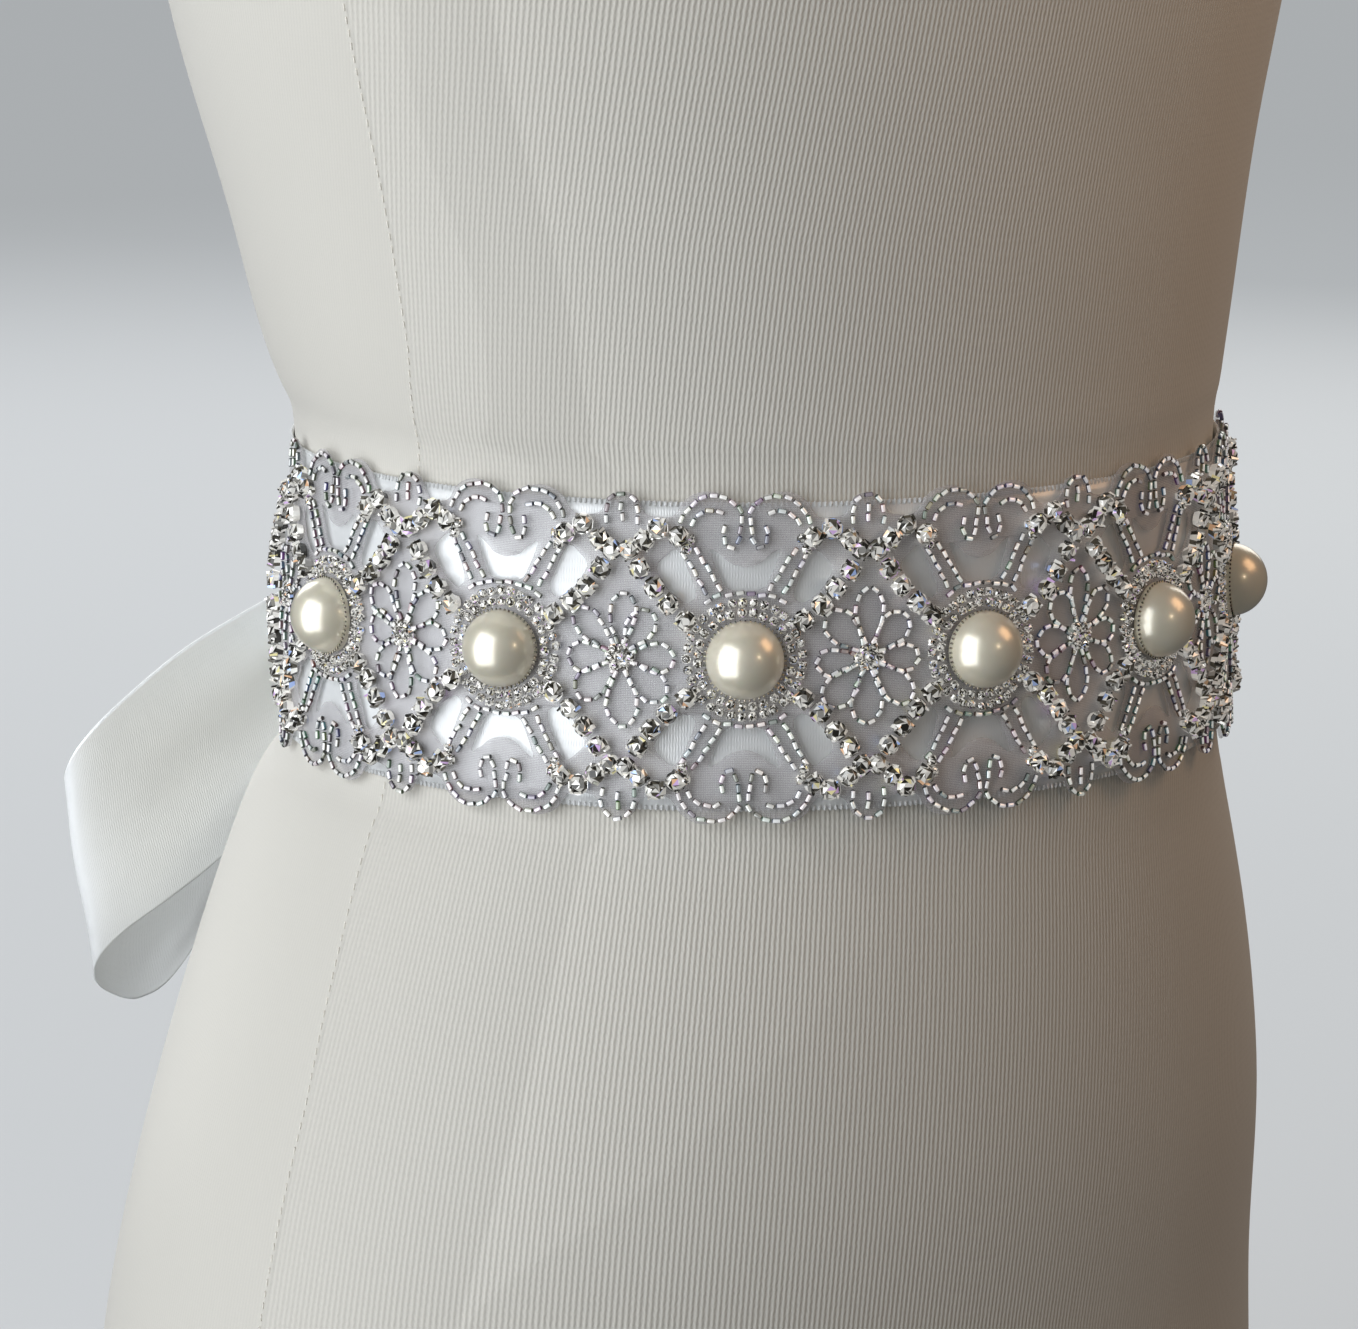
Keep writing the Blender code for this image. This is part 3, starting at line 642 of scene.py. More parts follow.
def cover_material():
    """Return the form's cream jersey: ribbed between the side seams, plain knit behind them."""
    material, nodes, links, shader = new_material("cream_jersey", colours().cover, 0.86)
    shader.inputs["Sheen Weight"].default_value = 0.2
    shader.inputs["Sheen Roughness"].default_value = 0.6
    past = nodes.new("ShaderNodeUVMap")
    past.uv_map = PANEL_UV
    split = nodes.new("ShaderNodeSeparateXYZ")
    links.new(past.outputs[0], split.inputs[0])
    front = smooth_step(nodes, links, split.outputs[0], 0.0003, -0.0003)
    ribs = place_group(nodes, "Ribs", Pitch=sizes().rib_pitch, Stitch=0.0016, Unevenness=0.34, Cross=0.16)
    knit = place_group(nodes, "Ribs", Pitch=0.0007, Stitch=0.0009, Unevenness=0.5)
    for group in (ribs, knit):
        links.new(cloth_coordinates(nodes), group.inputs["Vector"])
    mottle = place_group(nodes, "Mottle", Size=11.0, Amount=0.09)
    heights = math_node(nodes, links, "MULTIPLY", knit.outputs["Height"], 0.25)
    height = mix_values(nodes, links, front, heights, ribs.outputs["Height"])
    # Painted shade from the ribs and the plain knit: lighter on the raised lines and darker between them, on top
    # of their bump
    shades = math_node(nodes, links, "MULTIPLY", knit.outputs["Shade"], 0.3)
    shade = mix_values(nodes, links, front, math_node(nodes, links, "ADD", shades, 0.45),
                       ribs.outputs["Shade"])
    lined = nodes.new("ShaderNodeMapRange")
    lined.inputs["To Min"].default_value = 0.925
    lined.inputs["To Max"].default_value = 1.045
    links.new(shade, lined.inputs["Value"])
    # Painted shade: the cover darkens along the sunk seam line, where the bump also dips
    sunk = smooth_step(nodes, links, math_node(nodes, links, "ABSOLUTE", split.outputs[0]), 0.0006, 0.0)
    dark = math_node(nodes, links, "SUBTRACT", 1.0, math_node(nodes, links, "MULTIPLY", sunk, 0.08))
    tone = math_node(nodes, links, "MULTIPLY", lined.outputs[0], mottle.outputs["Shade"])
    tone = math_node(nodes, links, "MULTIPLY", tone, dark)
    links.new(shade_colour(nodes, links, colours().cover, tone), shader.inputs["Base Color"])
    dip = math_node(nodes, links, "MULTIPLY", sunk, 1.6)
    bump(nodes, links, shader, math_node(nodes, links, "SUBTRACT", height, dip), 0.00005)
    return material


def thread_material():
    """Return the sewing thread's cream, paler than the cover."""
    found = bpy.data.materials.get("cream_thread")
    if found:
        return found
    material, nodes, links, shader = new_material("cream_thread", colours().cover, 0.7)
    mottle = place_group(nodes, "Mottle", Size=700.0, Amount=0.3)
    pale = tuple(1.3 * value for value in colours().cover)
    links.new(shade_colour(nodes, links, pale, mottle.outputs["Shade"]), shader.inputs["Base Color"])
    return material


def glint_material(name, colour, roughness, metallic, painted_glow=0.0):
    """Return a bright material whose colour follows each face's painted glint (painted highlight, shade and
    reflection), and which can glow faintly with it.
    """
    found = bpy.data.materials.get(name)
    if found:
        return found
    material, nodes, links, shader = new_material(name, colour, roughness, metallic)
    shader.inputs["Coat Weight"].default_value = 0.6
    shader.inputs["Coat Roughness"].default_value = 0.05
    tint = nodes.new("ShaderNodeAttribute")
    tint.attribute_name = GLINT
    mix = nodes.new("ShaderNodeVectorMath")
    mix.operation = "MULTIPLY"
    mix.inputs[0].default_value = colour
    links.new(tint.outputs["Color"], mix.inputs[1])
    links.new(mix.outputs[0], shader.inputs["Base Color"])
    # Painted glow: the faces give off their painted glint as light of their own
    links.new(mix.outputs[0], shader.inputs["Emission Color"])
    shader.inputs["Emission Strength"].default_value = painted_glow
    mottle = place_group(nodes, "Mottle", Size=2400.0, Amount=0.5)
    rough = math_node(nodes, links, "MULTIPLY", mottle.outputs["Shade"], roughness)
    links.new(rough, shader.inputs["Roughness"])
    return material


def pearl_material():
    """Return the pearls' lustre: ivory with soft uneven tone and a little subsurface light under a clear coat."""
    material, nodes, links, shader = new_material("ivory_pearl", colours().pearl, 0.32, 0.36)
    shader.inputs["Coat Weight"].default_value = 0.7
    shader.inputs["Coat Roughness"].default_value = 0.14
    shader.inputs["Coat IOR"].default_value = 1.75
    shader.inputs["Specular IOR Level"].default_value = 0.6
    shader.inputs["Subsurface Weight"].default_value = 0.12
    shader.inputs["Subsurface Radius"].default_value = (0.0012, 0.0009, 0.0006)
    shader.inputs["Subsurface Scale"].default_value = 1.0
    mottle = place_group(nodes, "Mottle", Size=150.0, Amount=0.12)
    links.new(shade_colour(nodes, links, colours().pearl, mottle.outputs["Shade"]), shader.inputs["Base Color"])
    fine = place_group(nodes, "Mottle", Size=900.0, Amount=0.35)
    links.new(math_node(nodes, links, "MULTIPLY", fine.outputs["Shade"], 0.32), shader.inputs["Roughness"])
    return material


def bead_master():
    """Model one silver-lined bead lying along X: a short tube with rounded ends."""
    deselect_all()
    bpy.ops.mesh.primitive_cylinder_add(
        vertices=7, radius=sizes().bead_width / 2.0, depth=sizes().bead_length, rotation=(0, math.pi / 2, 0)
    )
    bead = bpy.context.active_object
    bpy.ops.object.mode_set(mode="EDIT")
    bpy.ops.mesh.select_all(action="SELECT")
    bpy.ops.mesh.bevel(offset=sizes().bead_width * 0.24, segments=2, affect="EDGES", clamp_overlap=True)
    bpy.ops.object.mode_set(mode="OBJECT")
    settle(bead)
    bpy.ops.object.shade_smooth()
    return bead


def lift_table(crown, radius):
    """Raise the crown's top to a small table and cut every side face in two facets."""
    bpy.ops.object.mode_set(mode="EDIT")
    mesh = bmesh.from_edit_mesh(crown.data)
    mesh.faces.ensure_lookup_table()
    for face in mesh.faces:
        face.select_set(face.normal.z > 0.9)
    bmesh.update_edit_mesh(crown.data)
    bpy.ops.mesh.inset(thickness=radius * 0.30, depth=radius * 0.26)
    bpy.ops.transform.rotate(value=math.pi / 8, orient_axis="Z", center_override=(0, 0, 0))
    bpy.ops.mesh.select_all(action="SELECT")
    bpy.ops.mesh.quads_convert_to_tris(quad_method="LONGEST_DIAGONAL", ngon_method="BEAUTY")
    mesh = bmesh.from_edit_mesh(crown.data)
    below = [face for face in mesh.faces if face.normal.z < -0.9]
    bmesh.ops.delete(mesh, geom=below, context="FACES_ONLY")
    bmesh.update_edit_mesh(crown.data)
    bpy.ops.object.mode_set(mode="OBJECT")


def stone_master(width):
    """Model one set rhinestone: a faceted crown in a cup with four claws."""
    deselect_all()
    radius = width / 2.0
    bpy.ops.mesh.primitive_cone_add(
        vertices=10, radius1=radius * 0.70, radius2=radius * 0.95, depth=radius * 0.66,
        location=(0, 0, radius * 0.33),
    )
    cup = bpy.context.active_object
    cup.data.materials.append(None)
    cup.data.materials.append(None)
    cup.data.polygons.foreach_set("material_index", [1] * len(cup.data.polygons))
    bpy.ops.mesh.primitive_cone_add(
        vertices=8, radius1=radius * 0.92, radius2=radius * 0.72, depth=radius * 0.30, end_fill_type="NGON",
        location=(0, 0, radius * 0.81), rotation=(0, 0, math.pi / 8),
    )
    crown = bpy.context.active_object
    crown.data.materials.append(None)
    settle(crown)
    lift_table(crown, radius)
    parts = [cup, crown]
    for i in range(4):
        turn = math.pi / 4 + i * math.pi / 2
        bpy.ops.mesh.primitive_cone_add(
            vertices=4, radius1=radius * 0.22, radius2=radius * 0.12, depth=radius * 0.75,
            location=(radius * 0.80 * math.cos(turn), radius * 0.80 * math.sin(turn), radius * 0.84),
            rotation=(0.35 * math.sin(turn), -0.35 * math.cos(turn), turn),
        )
        claw = bpy.context.active_object
        claw.data.materials.append(None)
        claw.data.materials.append(None)
        claw.data.polygons.foreach_set("material_index", [1] * len(claw.data.polygons))
        parts.append(claw)
    deselect_all()
    for part in parts:
        part.select_set(True)
    bpy.context.view_layer.objects.active = cup
    bpy.ops.object.join()
    settle(cup)
    return cup


def bead_tone_and_painted_light(count, master, seed):
    """Return a tint for each face of each bead: painted highlight along the middle of the faces that look out,
    painted shade on its sides and dark ends, with some beads duller and warmer of their own.
    """
    draw = np.random.default_rng(seed)
    reach = max(vertex.co.x for vertex in master.data.vertices)
    ends = np.array([abs(polygon.center.x) / reach for polygon in master.data.polygons])
    # Painted shade darkens each bead towards its ends
    along = np.interp(ends, (0.40, 0.70, 0.90), (1.0, 0.34, 0.06))
    whole = draw.uniform(0.72, 1.0, (count, 1, 1))
    dull = draw.random((count, 1, 1)) < 0.12
    up = np.array([polygon.normal.z for polygon in master.data.polygons])
    # Painted highlight on the faces that look out from the ribbon, painted shade on the sides
    facing = np.interp(up, (0.35, 0.75), (0.08, 1.0))[None, :, None]
    facing = facing * draw.uniform(0.82, 1.0, (count, len(ends), 1))
    warm = draw.normal(0.0, 0.02, (count, 1, 3))
    return np.clip(np.where(dull, whole * 0.4, whole) * facing * along[None, :, None] + warm, 0.02, 1.0)


def stone_painted_reflections(count, master, seed):
    """Return a tint for each face of each stone: painted reflections that flash light, grey, dark or coloured on
    the cut facets, and painted shade and reflection on the cups and claws.
    """
    draw = np.random.default_rng(seed)
    faces = len(master.data.polygons)
    crown = np.array([polygon.material_index == 0 for polygon in master.data.polygons])
    # Painted reflections: each crown facet gets a random level of reflected light
    level = draw.choice([0.02, 0.09, 0.34, 0.85, 1.0], p=[0.24, 0.18, 0.16, 0.18, 0.24], size=(count, faces))
    # Painted shade and reflection on the cups and claws
    level[:, ~crown] = draw.choice([0.08, 0.22, 0.50, 1.0], p=[0.3, 0.3, 0.22, 0.18],
                                   size=(count, int((~crown).sum())))
    tone_and_glint = level[..., None] * np.array((1.0, 0.985, 0.94))
    # Painted reflection of warm surroundings in the dark facets
    tone_and_glint[level < 0.2] *= np.array((1.0, 0.92, 0.74))
    # Painted coloured fire on a few facets
    flashes = ((1.0, 0.62, 0.38), (0.45, 0.60, 1.0), (1.0, 0.92, 0.50), (0.80, 0.55, 0.95))
    lit = (draw.random((count, faces)) < 0.05) & crown[None]
    pick = draw.integers(0, len(flashes), (count, faces))
    for k, flash in enumerate(flashes):
        tone_and_glint[lit & (pick == k)] = flash
    return tone_and_glint


def bead_lines():
    """Return every line of beads as a name and flat paths in mm, for the whole applique."""
    lines = {"beads_scallops": [], "beads_arms": [], "beads_petals": [], "beads_buds": []}
    for place in pearl_places():
        for up in (1.0, -1.0):
            for across in (1.0, -1.0):
                lines["beads_scallops"].append(flipped(LOBE, across, up, place))
                lines["beads_scallops"].append(flipped(INNER_LOBE, across, up, place))
                for line in ARM_LINES:
                    lines["beads_arms"].append(flipped(line, across, up, place))
            lines["beads_arms"].append(flipped(SKIRT, 1.0, up, place))
    draw = np.random.default_rng(31)
    for place in flower_places():
        for degrees, length in PETALS:
            # Hand sewing sets each petal a little off its even place
            turn = math.radians(degrees + draw.normal(0.0, 4.0))
            length = length * draw.uniform(0.90, 1.06)
            plump = draw.uniform(0.85, 1.12)
            half = [(share * length, wide * plump) for share, wide in PETAL_HALF]
            loop = half + [(reach, -wide) for reach, wide in reversed(half[:-1])]
            lines["beads_petals"].append([
                (place + reach * math.sin(turn) + wide * math.cos(turn),
                 reach * math.cos(turn) - wide * math.sin(turn))
                for reach, wide in loop
            ])
        for up in (1.0, -1.0):
            lines["beads_buds"].append(flipped(BUD, 1.0, up, place))
            lines["beads_buds"].append(flipped(BUD_LINE, 1.0, up, place))
    return lines


class SASH_OT_form(bpy.types.Operator):
    """Cover the dress form in ribbed and smooth jersey, with a sewn seam down each side."""

    bl_idname = "sash.form"
    bl_label = "Dress form cover"

    def execute(self, context):
        form = copy_of_node("dress_form")
        activate(form)
        bpy.ops.object.mode_set(mode="EDIT")
        bpy.ops.mesh.select_all(action="SELECT")
        bpy.ops.mesh.remove_doubles(threshold=0.00001)
        bpy.ops.mesh.tris_convert_to_quads(face_threshold=1.2, shape_threshold=1.2)
        bpy.ops.object.mode_set(mode="OBJECT")
        smooth = form.modifiers.new("soft", "SUBSURF")
        smooth.levels = 2
        smooth.render_levels = 2
        apply_modifiers(form)
        form.data.shade_smooth()
        self.sew_panels(form)
        finish_piece(form, "form_cover", [cover_material()])
        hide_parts("dress_form")
        for side, name in ((-1.0, "seam_stitches_right"), (1.0, "seam_stitches_left")):
            self.stitch_seam(form, side, name)
        return {"FINISHED"}

    def sew_panels(self, form):
        """Map the cover in metres: the knit's ribs round it, and how far each point is past the seam."""
        mesh = form.data
        count = len(mesh.vertices)
        points = np.empty(count * 3)
        mesh.vertices.foreach_get("co", points)
        points = points.reshape(-1, 3)
        corners = np.empty(len(mesh.loops), dtype=np.int32)
        mesh.loops.foreach_get("vertex_index", corners)
        x, y, z = points[corners].T
        turns = np.arctan2(x, WAIST_CENTRE_Y - y)
        starts, totals = (np.empty(len(mesh.polygons), dtype=np.int32) for _ in range(2))
        mesh.polygons.foreach_get("loop_start", starts)
        mesh.polygons.foreach_get("loop_total", totals)
        owner = np.repeat(np.arange(len(starts)), totals)
        highest = np.maximum.reduceat(turns, starts)
        lowest = np.minimum.reduceat(turns, starts)
        crosses = (highest - lowest > math.pi)[owner]
        turns = np.where(crosses & (turns < 0), turns + 2.0 * math.pi, turns)
        heights, twists = np.array(RIB_TWIST).T
        round_once = (WAIST_HALF_WIDTH + WAIST_HALF_DEPTH) / 2.0
        lean = np.radians(np.interp(z / MM, heights, twists))
        cloth = np.stack(((turns - lean) * round_once, z), -1)
        heights, places = np.array(SEAM_PATH).T
        past = (np.abs(turns) - np.radians(np.interp(z / MM, heights, places))) * round_once
        panel = np.stack((past, z), -1)
        for name, values in ((CLOTH_UV, cloth), (PANEL_UV, panel)):
            layer = mesh.uv_layers.new(name=name)
            layer.data.foreach_set("uv", values.astype(np.float32).ravel())

    def stitch_seam(self, form, side, name):
        """Lay small stitches down one side seam, from neck to base."""
        tree = BVHTree.FromObject(form, bpy.context.evaluated_depsgraph_get())
        heights = np.arange(0.012, 0.690, SEAM_STITCH_PITCH)
        gap = (np.abs(heights - WAIST_HEIGHT) < RIBBON_WIDTH / 2.0 + 0.002)
        places, frames = [], []
        for height in heights[~gap]:
            turn = math.radians(float(np.interp(height / MM, *np.array(SEAM_PATH).T)) + 0.35)
            direction = Vector((side * math.sin(turn), -math.cos(turn), 0.0))
            axis = Vector((0.0, WAIST_CENTRE_Y, height))
            spot, normal, _, _ = tree.ray_cast(axis + direction * 0.4, -direction)
            if spot is None:
                continue
            down = Vector((0, 0, -1)) - normal * normal.dot(Vector((0, 0, -1)))
            down.normalize()
            places.append(spot + normal * 0.00006)
            frames.append(np.array((down, normal.cross(down), normal)).T)
        master = thread_stitch_master(0.0015, 0.00045)
        stitches = scatter(name, master, np.array(places), np.array(frames),
                           np.ones((len(places), len(master.data.polygons), 3)))
        bpy.data.objects.remove(master, do_unlink=True)
        finish_piece(stitches, name, [thread_material()])


def copy_of_node(node):
    """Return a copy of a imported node's object with a mesh of its own."""
    source = FRAME["nodes"][node]
    piece = bpy.data.objects.new(node + "_cover", source.data.copy())
    for key in list(piece.keys()):
        del piece[key]
    bpy.context.scene.collection.objects.link(piece)
    return piece


def thread_stitch_master(length, width):
    """Model one stitch along X: a short rounded thread."""
    deselect_all()
    bpy.ops.mesh.primitive_cylinder_add(
        vertices=6, radius=width / 2.0, depth=length, rotation=(0, math.pi / 2, 0)
    )
    stitch = bpy.context.active_object
    bpy.ops.object.mode_set(mode="EDIT")
    bpy.ops.mesh.select_all(action="SELECT")
    bpy.ops.mesh.bevel(offset=width * 0.25, segments=1, affect="EDGES", clamp_overlap=True)
    bpy.ops.object.mode_set(mode="OBJECT")
    settle(stitch)
    bpy.ops.object.shade_smooth()
    return stitch


SEAM_STITCH_PITCH = 0.0026


class SASH_OT_ribbon(bpy.types.Operator):
    """Wrap the satin ribbon round the waist, with its picot edges."""

    bl_idname = "sash.ribbon"
    bl_label = "Satin ribbon"

    def execute(self, context):
        columns, rows = 288, 18
        turns = np.linspace(-math.pi, math.pi, columns, endpoint=False)
        girth = ARCS[-1] - ARCS[0]
        lines, uvs = [], []
        for i in range(rows + 1):
            share = i / rows - 0.5
            rises = np.full(columns, share * (RIBBON_WIDTH - 0.4 * MM))
            # The ribbon puckers towards the knot at the back
            behind = np.minimum(np.abs(np.abs(turns) - math.pi) / 0.55, 1.0)
            pucker = (1.0 - behind) ** 2 * 0.5 * MM * math.cos(5.0 * math.pi * share)
            wave = 0.10 * MM * np.sin(turns * 9.0 + share * 2.0)
            outs = RIBBON_OUT - 0.30 * MM + pucker + wave
            points, _ = waist_points(turns, rises, outs)
            lines.append(points)
            uvs.append([(girth * j / columns, share * RIBBON_WIDTH) for j in range(columns + 1)])
        ribbon = grid_piece("satin_ribbon", np.array(lines), uvs, closed=True)
        thicken(ribbon, 0.35 * MM)
        finish_piece(ribbon, "satin_ribbon", [satin_material()])
        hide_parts("ribbon_band")
        picots = self.picot_edges()
        return {"FINISHED"}

    def picot_edges(self):
        """Lay the tiny stitches of the selvedge along both edges of the ribbon."""
        master = thread_stitch_master(0.0011, 0.00078)
        pieces = []
        for sign, name in ((1.0, "picot_edge_top"), (-1.0, "picot_edge_bottom")):
            count = int((ARCS[-1] - ARCS[0]) / 0.00115)
            marks = (np.arange(count) + 0.5) / count * (ARCS[-1] - ARCS[0]) + ARCS[0]
            turns = np.interp(marks, ARCS, TURNS)
            rises = np.full(count, sign * (RIBBON_WIDTH / 2.0 - 0.55 * MM))
            points, normals = waist_points(turns, rises, np.full(count, RIBBON_OUT - 0.13 * MM))
            up = np.tile(np.array((0.0, 0.0, 1.0)), (count, 1))
            aside = np.cross(normals, up)
            frames = np.stack((up, aside, normals), -1)
            tone_and_glint = np.ones((count, len(master.data.polygons), 3))
            edge = scatter(name, master, points, frames, tone_and_glint)
            finish_piece(edge, name, [satin_material()])
            edge.data.uv_layers.new(name=CLOTH_UV)
            pieces.append(edge)
        bpy.data.objects.remove(master, do_unlink=True)
        return pieces


class SASH_OT_net(bpy.types.Operator):
    """Cut the organza to its scalloped outline and gaps, and lay it on the ribbon."""

    bl_idname = "sash.net"
    bl_label = "Organza net"

    def execute(self, context):
        outlines = [self.outline()] + self.gaps()
        curve = bpy.data.curves.new("organza_net", "CURVE")
        curve.dimensions = "2D"
        curve.fill_mode = "BOTH"
        for outline in outlines:
            spline = curve.splines.new("POLY")
            spline.points.add(len(outline) - 1)
            for control, (across, up) in zip(spline.points, outline):
                control.co = (across, up, 0.0, 1.0)
            spline.use_cyclic_u = True
        net = bpy.data.objects.new("organza_net", curve)
        context.scene.collection.objects.link(net)
        activate(net)
        bpy.ops.object.convert(target="MESH")
        net = context.active_object
        self.cut_fine(net)
        flat = np.empty(len(net.data.vertices) * 3)
        net.data.vertices.foreach_get("co", flat)
        flat = flat.reshape(-1, 3)
        layer = net.data.uv_layers.new(name=CLOTH_UV)
        corners = np.empty(len(net.data.loops), dtype=np.int32)
        net.data.loops.foreach_get("vertex_index", corners)
        layer.data.foreach_set("uv", (flat[corners, :2] * MM).ravel())
        lift = 0.18 * np.sin(flat[:, 0] * 0.31) * np.sin(flat[:, 1] * 0.23)
        laid, _ = lay(np.column_stack((flat[:, 0], flat[:, 1], NET_DEPTH + lift)))
        net.data.vertices.foreach_set("co", laid.ravel())
        net.data.update()
        net.data.shade_smooth()
        thicken(net, NET_WALL * MM)
        finish_piece(net, "organza_net", [organza_material()])
        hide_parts("applique_net")
        return {"FINISHED"}

    def outline(self):
        """Return the scalloped outline in mm, with each stretch between valleys smoothed."""
        places = flower_places()
        end = smooth_path(NET_END, 4)
        top = [(places[0] - x, y) for x, y in end[::-1][:-1]]
        edge = smooth_path(NET_EDGE, 4)
        hip = 3 * 4
        for place in places:
            left = edge[:hip + 1] if place == places[0] else edge
            right = edge[:hip + 1] if place == places[-1] else edge[:-1]
            top += [(place - x, y) for x, y in left[::-1][:-1]]
            top += [(place + x, y) for x, y in right]
        top += [(places[-1] + x, y) for x, y in end[1:]]
        return top + [(x, -y) for x, y in reversed(top[1:-1])]

    def gaps(self):
        """Return the outlines of the gaps in mm, with rounded corners."""
        found = []
        for place in pearl_places():
            for up in (1.0, -1.0):
                found.append(self.rounded(flipped(V_GAP, 1.0, up, place)))
                for across in (1.0, -1.0):
                    found.append(self.rounded(flipped(SLOT_GAP, across, up, place)))
        return found

    def rounded(self, outline):
        """Cut every corner of a closed outline twice, which rounds it."""
        points = np.array(outline)
        for _ in range(2):
            ahead = np.roll(points, -1, axis=0)
            points = np.stack((points * 0.82 + ahead * 0.18, points * 0.18 + ahead * 0.82), 1).reshape(-1, 2)
        return [tuple(point) for point in points]

    def cut_fine(self, net):
        """Cut the flat net across at close stations, so that it follows the waist."""
        activate(net)
        bpy.ops.object.mode_set(mode="EDIT")
        bpy.ops.mesh.select_all(action="SELECT")
        bpy.ops.mesh.remove_doubles(threshold=0.001)
        reach = int(FLOWER_COUNT * 6)
        step = sizes().repeat / MM / 12.0
        for i in range(-reach, reach + 1):
            bpy.ops.mesh.select_all(action="SELECT")
            bpy.ops.mesh.bisect(plane_co=(step * i, 0, 0), plane_no=(1, 0, 0))
        bpy.ops.mesh.select_all(action="SELECT")
        bpy.ops.mesh.normals_make_consistent(inside=False)
        bpy.ops.object.mode_set(mode="OBJECT")
        if net.data.polygons[0].normal.z < 0:
            net.data.flip_normals()


NET_DEPTH = -0.30
NET_WALL = 0.16


class SASH_OT_beads(bpy.types.Operator):
    """Sew the silver-lined beads along the scallops, arms, petals and buds."""

    bl_idname = "sash.beads"
    bl_label = "Bead lines"

    def execute(self, context):
        master = bead_master()
        # The beads glow faintly with their painted glint
        silver = glint_material("silver_lined_glass", (0.96, 0.955, 0.94), 0.15, 0.35, 0.50)
        pitch = sizes().bead_pitch / MM
        for number, (name, paths) in enumerate(bead_lines().items()):
            flats, runs = [], []
            for path in paths:
                places, directions = spaced(smooth_path(path), pitch)
                flats.append(places)
                runs.append(directions)
            flats, runs = np.vstack(flats), np.vstack(runs)
            draw = np.random.default_rng(40 + number)
            flats = flats + draw.normal(0.0, 0.09, flats.shape)
            swing = draw.normal(0.0, 0.10, len(runs))
            runs = np.stack((runs[:, 0] * np.cos(swing) - runs[:, 1] * np.sin(swing),
                             runs[:, 0] * np.sin(swing) + runs[:, 1] * np.cos(swing)), -1)
            places, frames = frames_on_waist(flats, runs, sizes().bead_width / MM / 2.0 - 0.12)
            piece = scatter(name, master, places, frames, bead_tone_and_painted_light(len(places), master, 50 + number))
            finish_piece(piece, name, [silver])
        bpy.data.objects.remove(master, do_unlink=True)
        return {"FINISHED"}


class SASH_OT_stones(bpy.types.Operator):
    """Set the rhinestone chain round the flowers and the small stones round the pearls."""

    bl_idname = "sash.stones"
    bl_label = "Rhinestones"

    def execute(self, context):
        chain = self.set_stones("rhinestone_chains", sizes().stone_width, *self.chain_places(), 71)
        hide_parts("rhinestone_chain")
        self.set_stones("rhinestone_rings", sizes().ring_stone_width, *self.ring_places(), 72)
        self.set_stones("rhinestone_hearts", sizes().ring_stone_width * 1.15, *self.heart_places(), 73)
        return {"FINISHED"}

    def set_stones(self, name, width, flats, runs, seed):
        """Set stones of one width at flat places."""
        master = stone_master(width)
        draw = np.random.default_rng(seed)
        flats = flats + draw.normal(0.0, 0.10, flats.shape)
        places, frames = frames_on_waist(flats, runs, STONE_DEPTH)
        lean = draw.normal(0.0, 0.10, (len(places), 2))
        tilted = frames.copy()
        tilted[..., 2] += frames[..., 0] * lean[:, :1] + frames[..., 1] * lean[:, 1:]
        tilted[..., 2] /= np.linalg.norm(tilted[..., 2], axis=1, keepdims=True)
        tilted[..., 1] = np.cross(tilted[..., 2], tilted[..., 0])
        tilted[..., 1] /= np.linalg.norm(tilted[..., 1], axis=1, keepdims=True)
        tilted[..., 0] = np.cross(tilted[..., 1], tilted[..., 2])
        piece = scatter(name, master, places, tilted, stone_painted_reflections(len(places), master, seed + 10))
        # The crystals glow faintly with their painted reflections; the cups take painted shade
        finish_piece(piece, name, [
            glint_material("cut_crystal", (0.95, 0.945, 0.93), 0.12, 0.30, 0.26),
            glint_material("silver_cups", colours().silver, 0.24, 1.0),
        ])
        bpy.data.objects.remove(master, do_unlink=True)
        return piece

    def chain_places(self):
        """Return the chain stones' flat places and directions: arches, hooks and end arcs."""
        pitch = sizes().stone_pitch / MM
        flats, runs = [], []
        places = flower_places()
        for place in places:
            for up in (1.0, -1.0):
                paths = [flipped(ARCH, across, up, place) for across in (1.0, -1.0)]
                if place != places[0]:
                    paths.append(flipped(HOOK, -1.0, up, place))
                if place != places[-1]:
                    paths.append(flipped(HOOK, 1.0, up, place))
                for path in paths:
                    spots, directions = spaced(smooth_path(path), pitch)
                    flats.append(spots)
                    runs.append(directions)
        for place, across in ((places[0], -1.0), (places[-1], 1.0)):
            spots, directions = spaced(smooth_path(flipped(END_ARC, across, 1.0, place)), pitch)
            flats.append(spots)
            runs.append(directions)
        return np.vstack(flats), np.vstack(runs)

    def ring_places(self):
        """Return the small stones' places round each pearl, in rows."""
        flats, runs = [], []
        for place in pearl_places():
            for row, (radius, count) in enumerate(RING_ROWS):
                turns = (np.arange(count) + 0.5 * row) * 2.0 * math.pi / count
                flats.append(np.stack((place + radius * np.cos(turns), radius * np.sin(turns)), -1))
                runs.append(np.stack((-np.sin(turns), np.cos(turns)), -1))
        return np.vstack(flats), np.vstack(runs)

    def heart_places(self):
        """Return the small stones' places at each flower's heart and at the hooks' ends."""
        flats = []
        for place in flower_places():
            flats.append([(place, 0.0)])
            flats.append([
                (place + 2.1 * math.cos(k * math.pi / 3), 2.1 * math.sin(k * math.pi / 3)) for k in range(6)
            ])
        for place in pearl_places():
            for up in (1.0, -1.0):
                for across in (1.0, -1.0):
                    flats.append(flipped(((11.6, 24.6), (13.6, 25.4), (12.2, 22.4)), across, up, place))
        flats = np.vstack(flats)
        return flats, np.tile(np.array((1.0, 0.0)), (len(flats), 1))


STONE_DEPTH = 0.02


